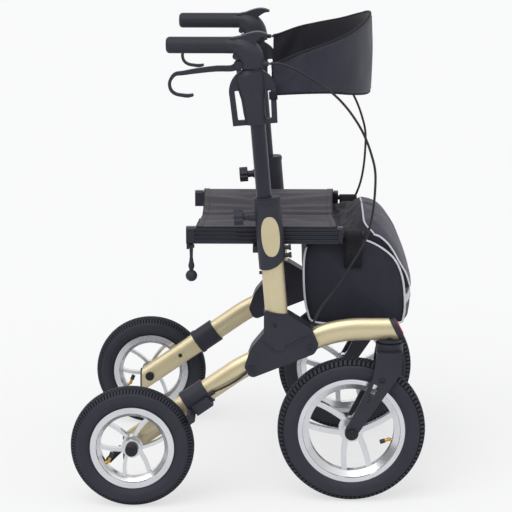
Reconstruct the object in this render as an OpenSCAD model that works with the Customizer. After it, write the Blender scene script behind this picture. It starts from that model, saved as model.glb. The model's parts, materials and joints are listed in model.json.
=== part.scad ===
// All-terrain rollator: a folding walking frame on four air tyres, with a sling seat, a bag and a backrest band.
// Lengths are millimetres and angles are degrees. X points forward, Y to the user's left, Z up from the floor.

/* [Wheels] */
// Distance from the rear axles to the front axles, with the casters trailing
wheelbase = 449; // [435:1:465]
// Outer diameter of a rear tyre
rear_tyre_d = 254; // [246:1:262]
// Outer diameter of a front tyre
front_tyre_d = 305; // [296:1:312]
// Diameter over the edges of a rear rim
rear_rim_d = 172; // [164:1:180]
// Diameter over the edges of a front rim
front_rim_d = 226; // [216:1:234]
// Width of a rear tyre
rear_tyre_w = 46; // [40:1:48]
// Width of a front tyre
front_tyre_w = 50; // [44:1:52]
// Width of a rim over its edges
rim_w = 36; // [32:1:38]
// Depth of the well between the edges of a rim
rim_well = 12; // [9:1:14]
// Thickness of the rim's metal
rim_wall = 4; // [3:0.5:5]
// Distance from a side frame's centre plane out to the rear tyre's
rear_out = 42; // [40:1:52]
// Width of a rear hub
rear_hub_w = 44; // [40:1:48]
// Diameter of the hubs
hub_d = 38; // [34:1:42]
// Outer diameter of the wheel bearings
bearing_d = 28; // [24:1:30]
// Width of a wheel bearing
bearing_w = 8; // [6:1:10]
// Diameter of the axles
axle_d = 12; // [10:0.5:14]
// Width of one spoke of a front rim
front_spoke_w = 11; // [8:0.5:13]
// Width of one spoke of a rear rim
rear_spoke_w = 7; // [5:0.5:9]
// Thickness of the spokes across the wheel
spoke_t = 14; // [10:1:18]
// Distance between the two spokes of a pair at the rim
spoke_apart = 51; // [44:1:56]
// Diameter of the flange on a front hub
front_flange_d = 52; // [46:1:58]
// Diameter of the flange on a rear hub
rear_flange_d = 44; // [40:1:50]

/* [Side frames] */
// Distance between the centre planes of the two side frames
frame_track = 486; // [476:1:490]
// Height of the oval side tube
tube_h = 46; // [42:1:48]
// Width of the oval side tube
tube_w = 30; // [28:1:32]
// Wall of the side tube
tube_wall = 2.5; // [2:0.25:3]
// Slope of the rear leg
leg_angle = 35; // [33:0.5:37]
// Slope of the side tube where it passes through the bracket
mid_angle = 22; // [20:0.5:24]
// Distance from the rear axle up the leg to the first bend
leg_run = 279; // [272:1:288]
// Level stretch of the side tube from its second bend to the swivel axis
front_run = 55; // [48:1:62]
// Radius of the bends
bend_r = 250; // [220:5:280]
// Length of the leg behind the rear axle, measured level
leg_tail = 19; // [16:1:24]
// Slant of the front end of the side tube
end_cut = 27; // [20:1:32]
// Distance up the leg from the axle to the joint with the side tube
joint_at = 160; // [156:1:166]
// Length of the sleeve over that joint
sleeve_len = 53; // [48:1:58]
// Wall of that sleeve
sleeve_wall = 4; // [3:0.5:5]
// Diameter of the tip pedal
pedal_d = 14; // [12:1:16]
// Length of the tip pedal
pedal_len = 44; // [36:1:52]

/* [Posts] */
// Lean of the posts and handle tubes to the rear
lean = 4.8; // [3.5:0.1:6]
// Distance from the first bend along the side tube to the foot of the post
post_at = 81; // [76:1:86]
// Distance from the foot point back to the post's centre line
post_back = 2.6; // [2:0.1:3]
// Length of the oval post along the travel direction
post_l = 46; // [46:1:50]
// Width of the oval post
post_w = 38; // [38:0.5:39]
// Wall of the post
post_wall = 2; // [1.5:0.25:2]
// Height of the top of the post above its foot
post_top = 318; // [310:1:326]
// Wall of the collar around the post
collar_wall = 4.4; // [4:0.2:5]
// Height of the lowest edge of the collar above the foot of the post
collar_low = 176; // [170:1:182]
// Height of the gold oval inlay
inlay_h = 82; // [74:1:88]
// Width of the gold oval inlay
inlay_w = 37; // [30:1:38]
// Depth of each half of the bracket, from its parting plane
bracket_half = 23; // [21:0.5:25]
// Height of the knob above the foot of the post
knob_at = 286; // [278:1:290]
// Diameter of the knob
knob_d = 33; // [30:1:38]
// Length of the knob
knob_len = 18; // [14:1:22]

/* [Handles] */
// Diameter of the handle tube
handle_d = 30.6; // [29:0.1:30.6]
// Wall of the handle tube
handle_wall = 2; // [1.5:0.25:2.5]
// Distance from the centre of the post back to the centre of the handle tube
tube_back = 5.4; // [5:0.1:5.4]
// Height of the elbow above the foot of the post
handle_rise = 595; // [585:1:605]
// Length of the handle tube below the elbow
handle_len = 430; // [410:1:450]
// Bend radius of the handle elbow
elbow_r = 38; // [34:1:44]
// Diameter of the handle's neck, below the elbow
neck_d = 47; // [44:1:48]
// Length of the rubber grip
grip_len = 120; // [110:1:130]
// Diameter of the rubber grip
grip_d = 33; // [30:1:36]
// Diameter of the bar inside the grip
bar_d = 22; // [18:1:24]
// Thickness of the brake lever
lever_t = 10; // [8:0.5:12]
// Diameter of the lever's pivot pin
lever_pin_d = 8; // [6:0.5:9]
// Radius of the outside of the yoke's arch
yoke_r = 47; // [44:1:50]
// Thickness of the yoke
yoke_t = 14; // [12:1:18]

/* [Casters] */
// Distance from the caster's swivel axis back to its axle
trail = 76; // [70:1:82]
// Diameter of the swivel stem
stem_d = 12; // [10:0.5:13]
// Diameter of the fork crown
crown_d = 56; // [52:1:60]
// Height of the fork crown
crown_h = 26; // [22:1:30]
// Clear width between the fork legs
fork_gap = 58; // [58:1:64]
// Thickness of a fork leg
fork_t = 8; // [7:0.5:10]

/* [Seat and folding brace] */
// Distance from the side frame's centre plane in to the seat rail's centre
rail_in = 45; // [43:1:47]
// Height of the underside of the seat rails above the foot of the post
rail_rise = 217; // [212:1:222]
// Height of a seat rail
rail_h = 33; // [30:1:36]
// Width of a seat rail
rail_w = 20; // [18:1:21]
// Length of the extruded part of a seat rail
rail_len = 293; // [280:1:305]
// Distance from the rear axle forward to the rear end of the rail
rail_at = 127; // [122:1:132]
// Diameter of the bag's hanger rods
rod_d = 10; // [8:1:12]
// Length of the bag's hanger rods in front of the rails
rod_len = 42; // [38:1:46]
// Height of the lower brace pivots above the foot of the post
brace_low = 13; // [8:1:18]
// Drop of the upper brace pivots below the seat rails
brace_drop = 14; // [13:1:18]
// Width of a brace bar
brace_w = 22; // [18:1:24]
// Thickness of a brace bar
brace_t = 12; // [10:1:14]
// Diameter of the brace's pins
pin_d = 8; // [6:0.5:10]
// Distance from the foot of the post back to the plane where the two bars cross
brace_back = 15; // [12:1:18]
// Thickness of the seat cloth
cloth_t = 3; // [2:0.5:4]
// Sag of the seat cloth in the middle
cloth_sag = 16; // [8:1:24]

/* [Bag and backrest] */
// Distance from a seat rail's centre in to the side of the bag
bag_in = 22; // [18:1:38]
// Height of the top of the bag above its sides
bag_crown = 60; // [40:1:66]
// Thickness of the backrest band
band_t = 12; // [8:1:14]

/* [Clearances] */
// Gap round a piece that is fixed in another
fixed_gap = 0.2; // [0.1:0.05:0.3]
// Gap round a shaft or a sliding piece
running_gap = 0.05; // [0.02:0.01:0.1]
// Gap between two pieces that pass each other
free_gap = 0.4; // [0.3:0.1:0.8]

/* [Hidden] */
$fn = 64;
gold = "#c9b98a";
black = "#2c2d34";
rubber = "#33353d";
silver = "#c4c6ca";
cloth_dark = "#4a474d";
bag_dark = "#34343d";

rear_r = rear_tyre_d / 2;
front_r = front_tyre_d / 2;
frame_y = frame_track / 2;
rear_y = frame_y + rear_out;
rear_x = -(wheelbase + front_r - rear_r) / 2;
stem_x = wheelbase + trail;

// Points of the side tube's centre line, as X and Z from the point on the floor under the rear axle
function along(p, angle, run) = p + run * [cos(angle), sin(angle)];
axle = [0, rear_r];
bend_1 = along(axle, leg_angle, leg_run);
bend_out = bend_r * tan(mid_angle / 2);
mid_run = (stem_x - front_run - bend_out - bend_1.x) / cos(mid_angle);
bend_2 = along(bend_1, mid_angle, mid_run);
foot = along(bend_1, mid_angle, post_at);
function on_post(x, z) = foot + [x * cos(lean) - z * sin(lean), x * sin(lean) + z * cos(lean)];
function leg_pt(run, n) = along(axle, leg_angle, run) + n * [-sin(leg_angle), cos(leg_angle)];
handle_back = post_back + tube_back;
elbow = on_post(-handle_back - elbow_r, handle_rise);
beam_z = bend_2.y;
sleeve_at = joint_at - sleeve_len / 2;
oval_end = 11;

// Post and collar, measured up the leaning post from its foot
post_low = 40;
collar_l = post_l + 2 * collar_wall;
collar_w = post_w + 2 * collar_wall;
collar_top = post_top + 5;
post_end = post_w / 2 - 1.4;
inlay_at = 245;
inlay_t = 2;
inlay_proud = 0.8;
knob_reach = 24;
knob_boss = 12;

// Seat and brace
rail_y = frame_y - rail_in;
rail_z = foot.y + rail_rise;
brace_z0 = foot.y + brace_low;
brace_z1 = rail_z - brace_drop;
brace_x = foot.x - brace_back;
brace_span = norm([2 * rail_y, brace_z1 - brace_z0]);
brace_angle = atan2(brace_z1 - brace_z0, 2 * rail_y);
lug_t = 7;
rail_end = rail_at + rail_len;
rod_z = rail_z + 19;

// Outline with rounded corners: a list of points, with the radius at each
function unit(v) = v / norm(v);
function corner(a, p, b, r, n = 5) =
  let (u = unit(a - p), v = unit(b - p))
  let (half = acos(u * v) / 2)
  let (c = p + unit(u + v) * r / sin(half))
  let (p0 = p + u * r / tan(half) - c, p1 = p + v * r / tan(half) - c)
  let (a0 = atan2(p0.y, p0.x), turn = (atan2(p1.y, p1.x) - a0 + 540) % 360 - 180)
  [for (i = [0:n]) c + r * [cos(a0 + turn * i / n), sin(a0 + turn * i / n)]];
function rounded(pts, r) =
  let (n = len(pts))
  [for (i = [0:n - 1]) each corner(pts[(i + n - 1) % n], pts[i], pts[(i + 1) % n], is_list(r) ? r[i] : r)];

// Points along a smooth curve through given points, a number of steps to each stretch
function smooth_at(a, b, c, d, t) =
  0.5 * (2 * b + (c - a) * t + (2 * a - 5 * b + 4 * c - d) * t * t + (3 * b - a - 3 * c + d) * t * t * t);
function smooth(p, steps) =
  let (n = len(p) - 1)
  [for (i = [0:n - 1], k = [0:steps - 1])
     smooth_at(p[max(i - 1, 0)], p[i], p[i + 1], p[min(i + 2, n)], k / steps), p[n]];

// Outline of a strip along a centre line, with its half width at each point
function side_of(p, w, i) =
  let (t = unit(p[min(i + 1, len(p) - 1)] - p[max(i - 1, 0)]))
  w[i] * [-t.y, t.x];
function strip(p, w) =
  concat([for (i = [0:len(p) - 1]) p[i] + side_of(p, w, i)],
         [for (i = [len(p) - 1:-1:0]) p[i] - side_of(p, w, i)]);

// Round tube along a route, as one closed surface, with one diameter or one at each point
function tube_ring(p, i, r, sides) =
  let (t = unit(p[min(i + 1, len(p) - 1)] - p[max(i - 1, 0)]))
  let (u = unit(cross([0, 1, 0], t)), v = cross(t, u))
  [for (k = [0:sides - 1]) p[i] + r * (u * cos(360 * k / sides) + v * sin(360 * k / sides))];
module route_tube(p, d, sides = 8)
  skin([for (i = [0:len(p) - 1]) tube_ring(p, i, (is_list(d) ? d[i] : d) / 2, sides)]);
module skin(rings) {
  n = len(rings);
  sides = len(rings[0]);
  polyhedron(
    [for (r = rings) each r],
    concat(
      [[for (k = [0:sides - 1]) k]],
      [for (i = [0:n - 2], k = [0:sides - 1]) let (a = i * sides + k, b = i * sides + (k + 1) % sides)
         each [[a, a + sides, b], [b, a + sides, b + sides]]],
      [[for (k = [sides - 1:-1:0]) (n - 1) * sides + k]]));
}

// Brake cable: points measured from the elbow, the foot of the post or the leg
cable_d = 5;
gland_d = 9;
gland_len = 32;
gland_y = 8;
gland_z = 2;
cable_boss = [57, 46];
cable_boss_d = 9;
cable_boss_len = 16;
cable_boss_tilt = 26;
cable_boss_y = 11;
adjuster_d = 9;
adjuster_len = 13;
adjuster_y = tube_w / 2 + 6;
adjuster_n = -6;
function from(p, x, y, z) = [p.x + x, frame_y + y, p.y + z];
boss_end = foot + cable_boss + (cable_boss_len + free_gap) * [sin(cable_boss_tilt), cos(cable_boss_tilt)];
cable_rise = [from(elbow, elbow_r + gland_len + free_gap, gland_y, gland_z),
              from(elbow, 92, gland_y + 1, gland_z), from(elbow, 132, 11, -14), from(elbow, 201, 12, -60),
              from(elbow, 247, 13, -116),
              from(elbow, 274, 13, -176), from(foot, 188, 13, 353), from(foot, 174, 12, 249),
              from(foot, 120, 12, 151), from(foot, 82, 11, 96), from(boss_end, 0, cable_boss_y, 0)];
cable_low = [from(foot + on_mid(-80.5, -12), 0, 17, 0), from(leg_pt(250, -13), 0, 18, 0),
             from(leg_pt(222, -10), 0, 20, 0),
             from(leg_pt(sleeve_at + sleeve_len + adjuster_len + 2 * free_gap, adjuster_n), 0, adjuster_y, 0)];

// Placing: each side frame is drawn with outward as +Y, and the right one is its mirror image
module hand(s) translate([rear_x, 0, 0]) mirror([0, s < 0 ? 1 : 0, 0]) children();
module centred() translate([rear_x, 0, 0]) children();
module at_leg(run) translate([along(axle, leg_angle, run).x, frame_y, along(axle, leg_angle, run).y])
  rotate([0, -leg_angle, 0]) children();
module at_post() translate([foot.x, frame_y, foot.y]) rotate([0, -lean, 0])
  translate([-post_back, 0, 0]) children();
module at_handle() at_post() translate([-tube_back, 0, 0]) children();
// Outline in X and Z, extruded across from y0 to y1
module across(y0, y1) translate([0, y1, 0]) rotate([90, 0, 0]) linear_extrude(y1 - y0) children();
// Outline in Y and Z, extruded forward from x0 to x1
module forward(x0, x1) translate([x0, 0, 0]) rotate([90, 0, 90]) linear_extrude(x1 - x0) children();
// Round bar across, from y0 to y1
module bar_y(d, y0, y1) translate([0, y0, 0]) rotate([-90, 0, 0]) cylinder(d = d, h = y1 - y0);
// Round bar forward, from x0 to x1
module bar_x(d, x0, x1) translate([x0, 0, 0]) rotate([0, 90, 0]) cylinder(d = d, h = x1 - x0);

// Oval of four arcs, long along x: r is the radius of its ends, and its flanks have the radius flank_r
function flank_r(l, w, r) = (pow(l / 2 - r, 2) + w * w / 4 - r * r) / (w - 2 * r);
module oval(l, w, r) {
  big = flank_r(l, w, r);
  meet = (l / 2 - r) * (1 + r / (big - r));
  intersection() {
    square([2 * meet, w], center = true);
    translate([0, w / 2 - big]) circle(big);
    translate([0, big - w / 2]) circle(big);
  }
  for (s = [-1, 1]) translate([s * (l / 2 - r), 0]) circle(r);
}
module post_outline(grow) oval(post_l + 2 * grow, post_w + 2 * grow, post_end + grow);
module stadium(l, w) {
  square([l - w, w], center = true);
  for (s = [-1, 1]) translate([s * (l - w) / 2, 0]) circle(d = w);
}
module round_rect(l, w, r) {
  square([l - 2 * r, w], center = true);
  square([l, w - 2 * r], center = true);
  for (s = [-1, 1], t = [-1, 1]) translate([s * (l / 2 - r), t * (w / 2 - r)]) circle(r);
}
module side_oval(grow) oval(tube_h + 2 * grow, tube_w + 2 * grow, oval_end + grow);
module side_ring() difference() { side_oval(0); side_oval(-tube_wall); }

// Straight and bent stretches of the side tube, one after the other, each along its own local x
module straight(run) rotate([0, 90, 0]) linear_extrude(run) children();
module bend(turn) translate([0, 0, -bend_r]) rotate([90, 0, 0]) rotate([0, 0, 90 - turn - bend_lap])
  rotate_extrude(angle = turn + 2 * bend_lap) translate([bend_r, 0]) children();
module past_bend(turn) translate([0, 0, -bend_r]) rotate([0, turn, 0]) translate([0, 0, bend_r]) children();
bend_lap = 0.3;
bend_turn = leg_angle - mid_angle;
bend_in = bend_r * tan(bend_turn / 2);
run_1 = leg_run - bend_in - joint_at;
run_2 = mid_run - bend_in - bend_out;
module at_bend() at_leg(joint_at) translate([run_1, 0, 0]) children();
module at_middle() at_bend() past_bend(bend_turn) children();
module at_front() at_middle() translate([run_2, 0, 0]) past_bend(mid_angle) children();
// The bends are a touch thicker than the straights, so that each straight ends inside the wall of a bend
bend_step = 0.1;
module bend_ring() difference() {
  side_oval(bend_step);
  side_oval(-tube_wall - bend_step);
}
module side_tube(extra) {
  at_leg(joint_at) straight(run_1) side_ring();
  at_bend() bend(bend_turn) bend_ring();
  at_middle() straight(run_2) side_ring();
  at_middle() translate([run_2, 0, 0]) bend(mid_angle) bend_ring();
  at_front() straight(front_run + extra) side_ring();
}

// Slice of the slanted front end, between two distances ahead of the cut
end_out = 10;
cap_t = 11;
module end_slice(t0, t1) translate([stem_x + end_out, frame_y, beam_z]) rotate([0, -end_cut, 0])
  translate([t0, -tube_w, -2 * tube_h]) cube([t1 - t0, 2 * tube_w, 4 * tube_h]);

// Caster head: the boss in the side tube, and the heights below it
boss_d = stem_d + 10;
saddle_z = beam_z - tube_h / 2 - 1;
saddle_h = 4;
washer_t = 3;
crown_z = saddle_z - washer_t - free_gap;
fork_z = crown_z - crown_h;

module beam(s) color(gold) hand(s) difference() {
  side_tube(tube_h);
  end_slice(0, 2 * tube_h);
  translate([stem_x, frame_y, beam_z - tube_h]) cylinder(d = boss_d + 2 * fixed_gap, h = tube_h);
}

module rear_leg(s) color(gold) hand(s) difference() {
  at_leg(-2 * tube_h) straight(2 * tube_h + joint_at - fixed_gap) side_ring();
  translate([-leg_tail - 4 * tube_h, 0, 0]) cube([4 * tube_h, 2 * frame_y, 2 * rear_r]);
  translate([0, 0, rear_r]) bar_y(axle_d + 2 * fixed_gap, frame_y - tube_w, frame_y + tube_w);
}

// Black plug in the cut end of the leg; the right one has the pedal for tipping the frame over a kerb
plug_t = 3.3;
plug_lip = 0.8;
module rear_plug(s) color(black) hand(s) {
  intersection() {
    at_leg(-3 * tube_h) straight(4 * tube_h) side_oval(plug_lip);
    translate([-leg_tail - plug_t, 0, 0]) cube([plug_t - fixed_gap, 2 * frame_y, 2 * rear_r]);
  }
  if (s < 0) translate([-leg_tail - plug_t - 4, frame_y, rear_r - tan(leg_angle) * leg_tail - 5])
    rotate([0, 225, 0]) {
    cylinder(d = pedal_d, h = pedal_len - pedal_d / 2);
    translate([0, 0, pedal_len - pedal_d / 2]) sphere(d = pedal_d);
  }
}

// Sleeve over the joint of leg and side tube, with the guide of the brake shoe on its outer flank
guide_y = tube_w / 2 + sleeve_wall;
tongue_w = 12;
tongue_t = 6;
brake_n = -17;
guide_rim = 5;
module leg_sleeve(s) color(black) hand(s) at_leg(sleeve_at) difference() {
  union() {
    straight(sleeve_len) side_oval(sleeve_wall);
    straight(8) side_oval(sleeve_wall + 1.5);
    translate([10, tube_w / 4, brake_n - tongue_w / 2 - guide_rim])
      cube([sleeve_len - 14, guide_y + tongue_t + 3 - tube_w / 4, tongue_w + 2 * guide_rim]);
  }
  translate([-1, 0, 0]) straight(sleeve_len + 2) side_oval(fixed_gap);
  translate([-1, guide_y - free_gap, brake_n - tongue_w / 2 - free_gap])
    cube([sleeve_len - 10, tongue_t + 2 * free_gap, tongue_w + 2 * free_gap]);
}

// Brake shoe: a pad over the tyre, on a tongue that slides in the guide
shoe_gap = 3;
shoe_t = 11;
shoe_h = 18;
module brake_shoe(s) color(rubber) hand(s) {
  at_leg(sleeve_at) translate([0, guide_y, brake_n - tongue_w / 2]) cube([sleeve_len - 18, tongue_t, tongue_w]);
  difference() {
    at_leg(sleeve_at - shoe_t) translate([0, guide_y + 2, brake_n - shoe_h / 2])
      cube([shoe_t + 6, rear_out - guide_y - 2 + rear_tyre_w / 2, shoe_h]);
    translate([0, 0, rear_r]) bar_y(2 * (rear_r + shoe_gap), 0, 2 * rear_y);
  }
}

module post(s) color(gold) hand(s) at_post() difference() {
  translate([0, 0, post_low]) linear_extrude(post_top - post_low) difference() {
    post_outline(0);
    post_outline(-post_wall);
  }
  translate([0, 0, knob_at]) bar_x(screw_d + 2 * free_gap, -post_l, 0);
}

// Collar on the top of the post: it guides the handle tube, carries the knob and props the seat rail
screw_d = 8;
stud_d = 9;
stud_at = [24, 40];
collar_r = 60;
shelf_l = 18;
shelf_h = 12;
rim_h = 6;
rim_out = 1.4;
function collar_edge() =
  [for (a = [-70:10:70]) [-collar_l / 3 + collar_r * sin(a), collar_low + collar_r * (1 - cos(a))]];
module collar(s) color(black) hand(s) difference() {
  union() {
    at_post() intersection() {
      linear_extrude(collar_top) post_outline(collar_wall);
      across(-collar_w, collar_w)
        polygon(concat(collar_edge(), [[collar_l, 2 * collar_top], [-collar_l, 2 * collar_top]]));
    }
    at_post() translate([0, 0, collar_top - rim_h - 3]) linear_extrude(rim_h) post_outline(collar_wall + rim_out);
    at_post() translate([0, 0, knob_at]) bar_x(19, -collar_l / 2 - knob_boss, 0);
    at_post() for (z = stud_at) translate([0, 0, collar_low + z]) {
      bar_x(stud_d, 0, collar_l / 2 + 9);
      bar_x(stud_d + 3, collar_l / 2 + 8, collar_l / 2 + 13);
    }
    translate([brace_x - brace_t - lug_t - shelf_l - 6, rail_y - rail_w / 2 + 2, rail_z - free_gap - shelf_h])
      cube([shelf_l, rail_in - collar_w / 2 + rail_w / 2 + 14, shelf_h]);
  }
  at_post() linear_extrude(post_top + fixed_gap) post_outline(fixed_gap);
  at_handle() cylinder(d = handle_d + 2 * running_gap, h = collar_top + 1);
  at_post() translate([0, 0, knob_at]) bar_x(screw_d + 2 * running_gap, -collar_l, 0);
  at_post() inlay_layer(fixed_gap, -inlay_t, 2 * inlay_proud);
}
// Oval layer of the collar's outer flank, between two depths
collar_flank = flank_r(collar_l, collar_w, post_end + collar_wall);
inlay_fwd = 1.5;
inlay_sides = 40;
function blunt(v) = sign(v) * pow(abs(v), 0.85);
function inlay_pts(grow) = [for (k = [0:inlay_sides - 1]) let (a = 360 * (k + 0.5) / inlay_sides)
                              [(inlay_w / 2 + grow) * blunt(cos(a)), (inlay_h / 2 + grow) * blunt(sin(a))]];
module collar_drum(t) translate([0, collar_w / 2 - collar_flank, 0])
  cylinder(r = collar_flank + t, h = 2 * inlay_at, $fn = 180);
module inlay_layer(grow, t0, t1) difference() {
  intersection() {
    collar_drum(t1);
    translate([inlay_fwd, 0, inlay_at]) across(collar_w / 4, collar_w) polygon(inlay_pts(grow));
  }
  collar_drum(t0);
}
module collar_inlay(s) color(gold) hand(s) at_post() inlay_layer(0, fixed_gap - inlay_t, inlay_proud);

// Moulded bracket: two shells clamp the side tube and the foot of the post
bracket_low = -tube_h / 2 - 3;
function on_mid(u, n) = u * [cos(mid_angle), sin(mid_angle)] + n * [-sin(mid_angle), cos(mid_angle)];
bracket_pts = [[-35, 89], [16, 81.5], [62, 53], [78, 16], on_mid(62, bracket_low), on_mid(-78, bracket_low),
               [-75, -28], [-61, 11], [-35, 43]];
bracket_radii = [4, 10, 22, 14, 12, 12, 12, 40, 10];
socket_pts = [[-44, 96], [40, 96], [34, 24], [-4, 2], [-36, 20]];
socket_radii = [4, 4, 18, 26, 18];
socket_wall = 4;
plate_y = bracket_half - 3;
rib_line = smooth([[-36, 25], [-22, 11], [-6, 8], [27, 22], [57, 37], [65, 25]], 3);
rib_half = 1.5;
screw_at = [[-59.6, -33], [-12.8, 60.6], [58, 12]];
screw_head_d = 10;
screw_face = bracket_half - 1;
screw_deep = 2.5;
screw_sunk = 0.5;
bend_ease = 0.4;
module bracket_hollow() {
  at_middle() straight(run_2 + bend_lap) side_oval(fixed_gap);
  at_bend() bend(bend_turn) side_oval(fixed_gap + bend_ease);
  at_middle() translate([run_2, 0, 0]) bend(mid_angle) side_oval(fixed_gap + bend_ease);
  at_post() linear_extrude(post_top) post_outline(fixed_gap);
}
module bracket_outer(s) color(black) hand(s) difference() {
  union() {
    intersection() {
      at_post() linear_extrude(post_top) post_outline(socket_wall);
      translate([foot.x, 0, foot.y]) across(frame_y, frame_y + 2 * bracket_half) intersection() {
        polygon(rounded(bracket_pts, bracket_radii));
        polygon(rounded(socket_pts, socket_radii));
      }
    }
    translate([foot.x, 0, foot.y]) {
      across(frame_y, frame_y + plate_y) polygon(rounded(bracket_pts, bracket_radii));
      across(frame_y + plate_y - 1, frame_y + screw_face) polygon(strip(rib_line, [for (p = rib_line) rib_half]));
      for (p = screw_at) translate([p.x, 0, p.y])
        bar_y(screw_head_d + 6, frame_y + tube_w / 2 + 1, frame_y + screw_face);
      translate([cable_boss.x, frame_y + cable_boss_y, cable_boss.y]) rotate([0, cable_boss_tilt, 0])
        cylinder(d = cable_boss_d, h = cable_boss_len);
    }
  }
  bracket_hollow();
  for (p = screw_at) translate([foot.x + p.x, 0, foot.y + p.y])
    bar_y(screw_head_d + 2 * fixed_gap, frame_y + screw_face - screw_deep, frame_y + bracket_half + 2);
}
// Which bar of the brace each side's ears hold: the right bracket and the left rail hold the rear bar
function bar_at(s) = s < 0 ? brace_x - 1 - brace_t : brace_x + 1;
function ear_at(s) = [bar_at(s) - free_gap - lug_t, bar_at(s) + brace_t + free_gap];
module bracket_inner(s) color(black) hand(s) difference() {
  union() {
    translate([foot.x, 0, foot.y])
      across(frame_y - bracket_half, frame_y - fixed_gap) polygon(rounded(bracket_pts, bracket_radii));
    for (x = ear_at(s)) forward(x, x + lug_t) {
      translate([rail_y, brace_z0]) circle(d = brace_w);
      translate([rail_y, brace_z0 - brace_w / 2]) square([rail_in - bracket_half + 2, brace_w]);
    }
  }
  bracket_hollow();
  translate([0, rail_y, brace_z0]) bar_x(pin_d + 2 * fixed_gap, foot.x - post_l, foot.x + post_l);
}

// End cap of the side tube, with the saddle and the boss that carry the caster's stem
module front_cap(s) color(black) hand(s) difference() {
  union() {
    intersection() {
      translate([stem_x - tube_h, frame_y, beam_z]) straight(4 * tube_h) side_oval(plug_lip);
      end_slice(fixed_gap, cap_t);
    }
    difference() {
      translate([stem_x, frame_y, saddle_z]) cylinder(d = crown_d - 6, h = saddle_h);
      translate([stem_x - 2 * tube_h, frame_y, beam_z]) straight(4 * tube_h) side_oval(fixed_gap);
    }
    translate([stem_x, frame_y, saddle_z]) cylinder(d = boss_d, h = tube_h / 2 + saddle_h);
  }
  translate([stem_x, frame_y, saddle_z - 1]) cylinder(d = stem_d + 2 * running_gap, h = tube_h + 20);
}

// Fixed hardware of a side frame: rear axle, hub cap, screws, brace pin, button plug and the cable's adjuster
nub_d = 7;
button_at = 86;
cap_d = 26;
cap_len = 16;
hub_y = rear_y + rear_hub_w / 2;
leg_y = frame_y + tube_w / 2;
module fasteners(s) color(black) hand(s) {
  translate([0, 0, rear_r]) {
    bar_y(axle_d, frame_y - tube_w / 2 - 6, hub_y + free_gap + 2);
    bar_y(axle_d + 8, frame_y - tube_w / 2 - 6, frame_y - tube_w / 2 - fixed_gap);
    difference() {
      bar_y(axle_d + 12, leg_y + fixed_gap, rear_y - rear_hub_w / 2 - free_gap);
      bar_y(axle_d, leg_y, rear_y);
    }
    translate([0, hub_y + free_gap, 0]) rotate([-90, 0, 0]) rotate_extrude() polygon(
      [[0, 0], [cap_d / 2, 0], each corner([cap_d / 2, 0], [cap_d / 2, cap_len], [0, cap_len], 6), [0, cap_len]]);
  }
  for (p = screw_at) translate([foot.x + p.x, 0, foot.y + p.y])
    bar_y(screw_head_d, frame_y + screw_face - screw_deep + fixed_gap, frame_y + screw_face - screw_sunk);
  at_post() translate([0, 0, collar_low - 8]) bar_x(nub_d, -post_l / 2 - 5, -post_l / 2 - fixed_gap);
  at_leg(button_at) bar_y(nub_d + 2, -tube_w / 2 - 2, -tube_w / 2 - fixed_gap);
  translate([0, rail_y, brace_z0]) bar_x(pin_d, ear_at(s)[0] - 2, ear_at(s)[1] + lug_t + 2);
  at_leg(sleeve_at + sleeve_len + fixed_gap) translate([0, adjuster_y, adjuster_n])
    bar_x(adjuster_d, 0, adjuster_len);
}

module brake_cable(s) color(black) hand(s) {
  route_tube(smooth(cable_rise, 6), cable_d);
  route_tube(smooth(cable_low, 3), cable_d);
}

// Caster fork: crown, and a leg on each side of the wheel with a long window
fork_in = fork_gap / 2;
fork_out = fork_in + fork_t;
fork_boss = 14;
fork_pts = [[stem_x - 27, fork_z + 8], [stem_x + 26, fork_z + 8], [stem_x + 23, fork_z - 31],
            [stem_x - 2, fork_z - 68], [wheelbase + 14, front_r + 2], [wheelbase - 13, front_r + 8],
            [wheelbase + 6, front_r + 44],
            [stem_x - 33, fork_z - 38]];
fork_radii = [3, 3, 20, 24, 2, 2, 20, 20];
window_pts = [[stem_x - 31, fork_z - 50], [stem_x - 20, fork_z - 63], [wheelbase + 25, front_r + 54]];
bridge_l = 52;
bridge_h = 12;
dimple = [-15, -45];
dimple_d = 13;
dimple_deep = 3;
rivet_at = [[-20, 4], [18.5, 4]];
rivet_d = 7;
rivet_t = 1.2;
module fork(s) color(black) hand(s) difference() {
  union() {
    translate([stem_x, frame_y, fork_z]) cylinder(d = crown_d - 6, h = crown_h);
    translate([stem_x, frame_y, fork_z + 8]) cylinder(d = crown_d, h = crown_h - 8);
    translate([stem_x - bridge_l / 2, frame_y - fork_out, fork_z]) cube([bridge_l, 2 * fork_out, bridge_h]);
    for (y = [-fork_out, fork_in]) {
      across(frame_y + y, frame_y + y + fork_t) difference() {
        polygon(rounded(fork_pts, fork_radii));
        polygon(rounded(window_pts, 2.5));
      }
      translate([wheelbase, frame_y + y, front_r]) bar_y(2 * fork_boss, 0, fork_t);
    }
    for (p = rivet_at) translate([stem_x + p.x, frame_y, fork_z + p.y])
      bar_y(rivet_d, -fork_out - rivet_t, fork_out + rivet_t);
  }
  for (y = [-fork_out - 1, fork_out - dimple_deep]) translate([stem_x + dimple.x, frame_y + y, fork_z + dimple.y])
    bar_y(dimple_d, 0, dimple_deep + 1);
  translate([wheelbase, frame_y, front_r]) bar_y(axle_d + 2 * fixed_gap, -2 * fork_out, 2 * fork_out);
  translate([stem_x, frame_y, fork_z - 1]) cylinder(d = stem_d + 2 * fixed_gap, h = crown_h + 2);
}
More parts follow.
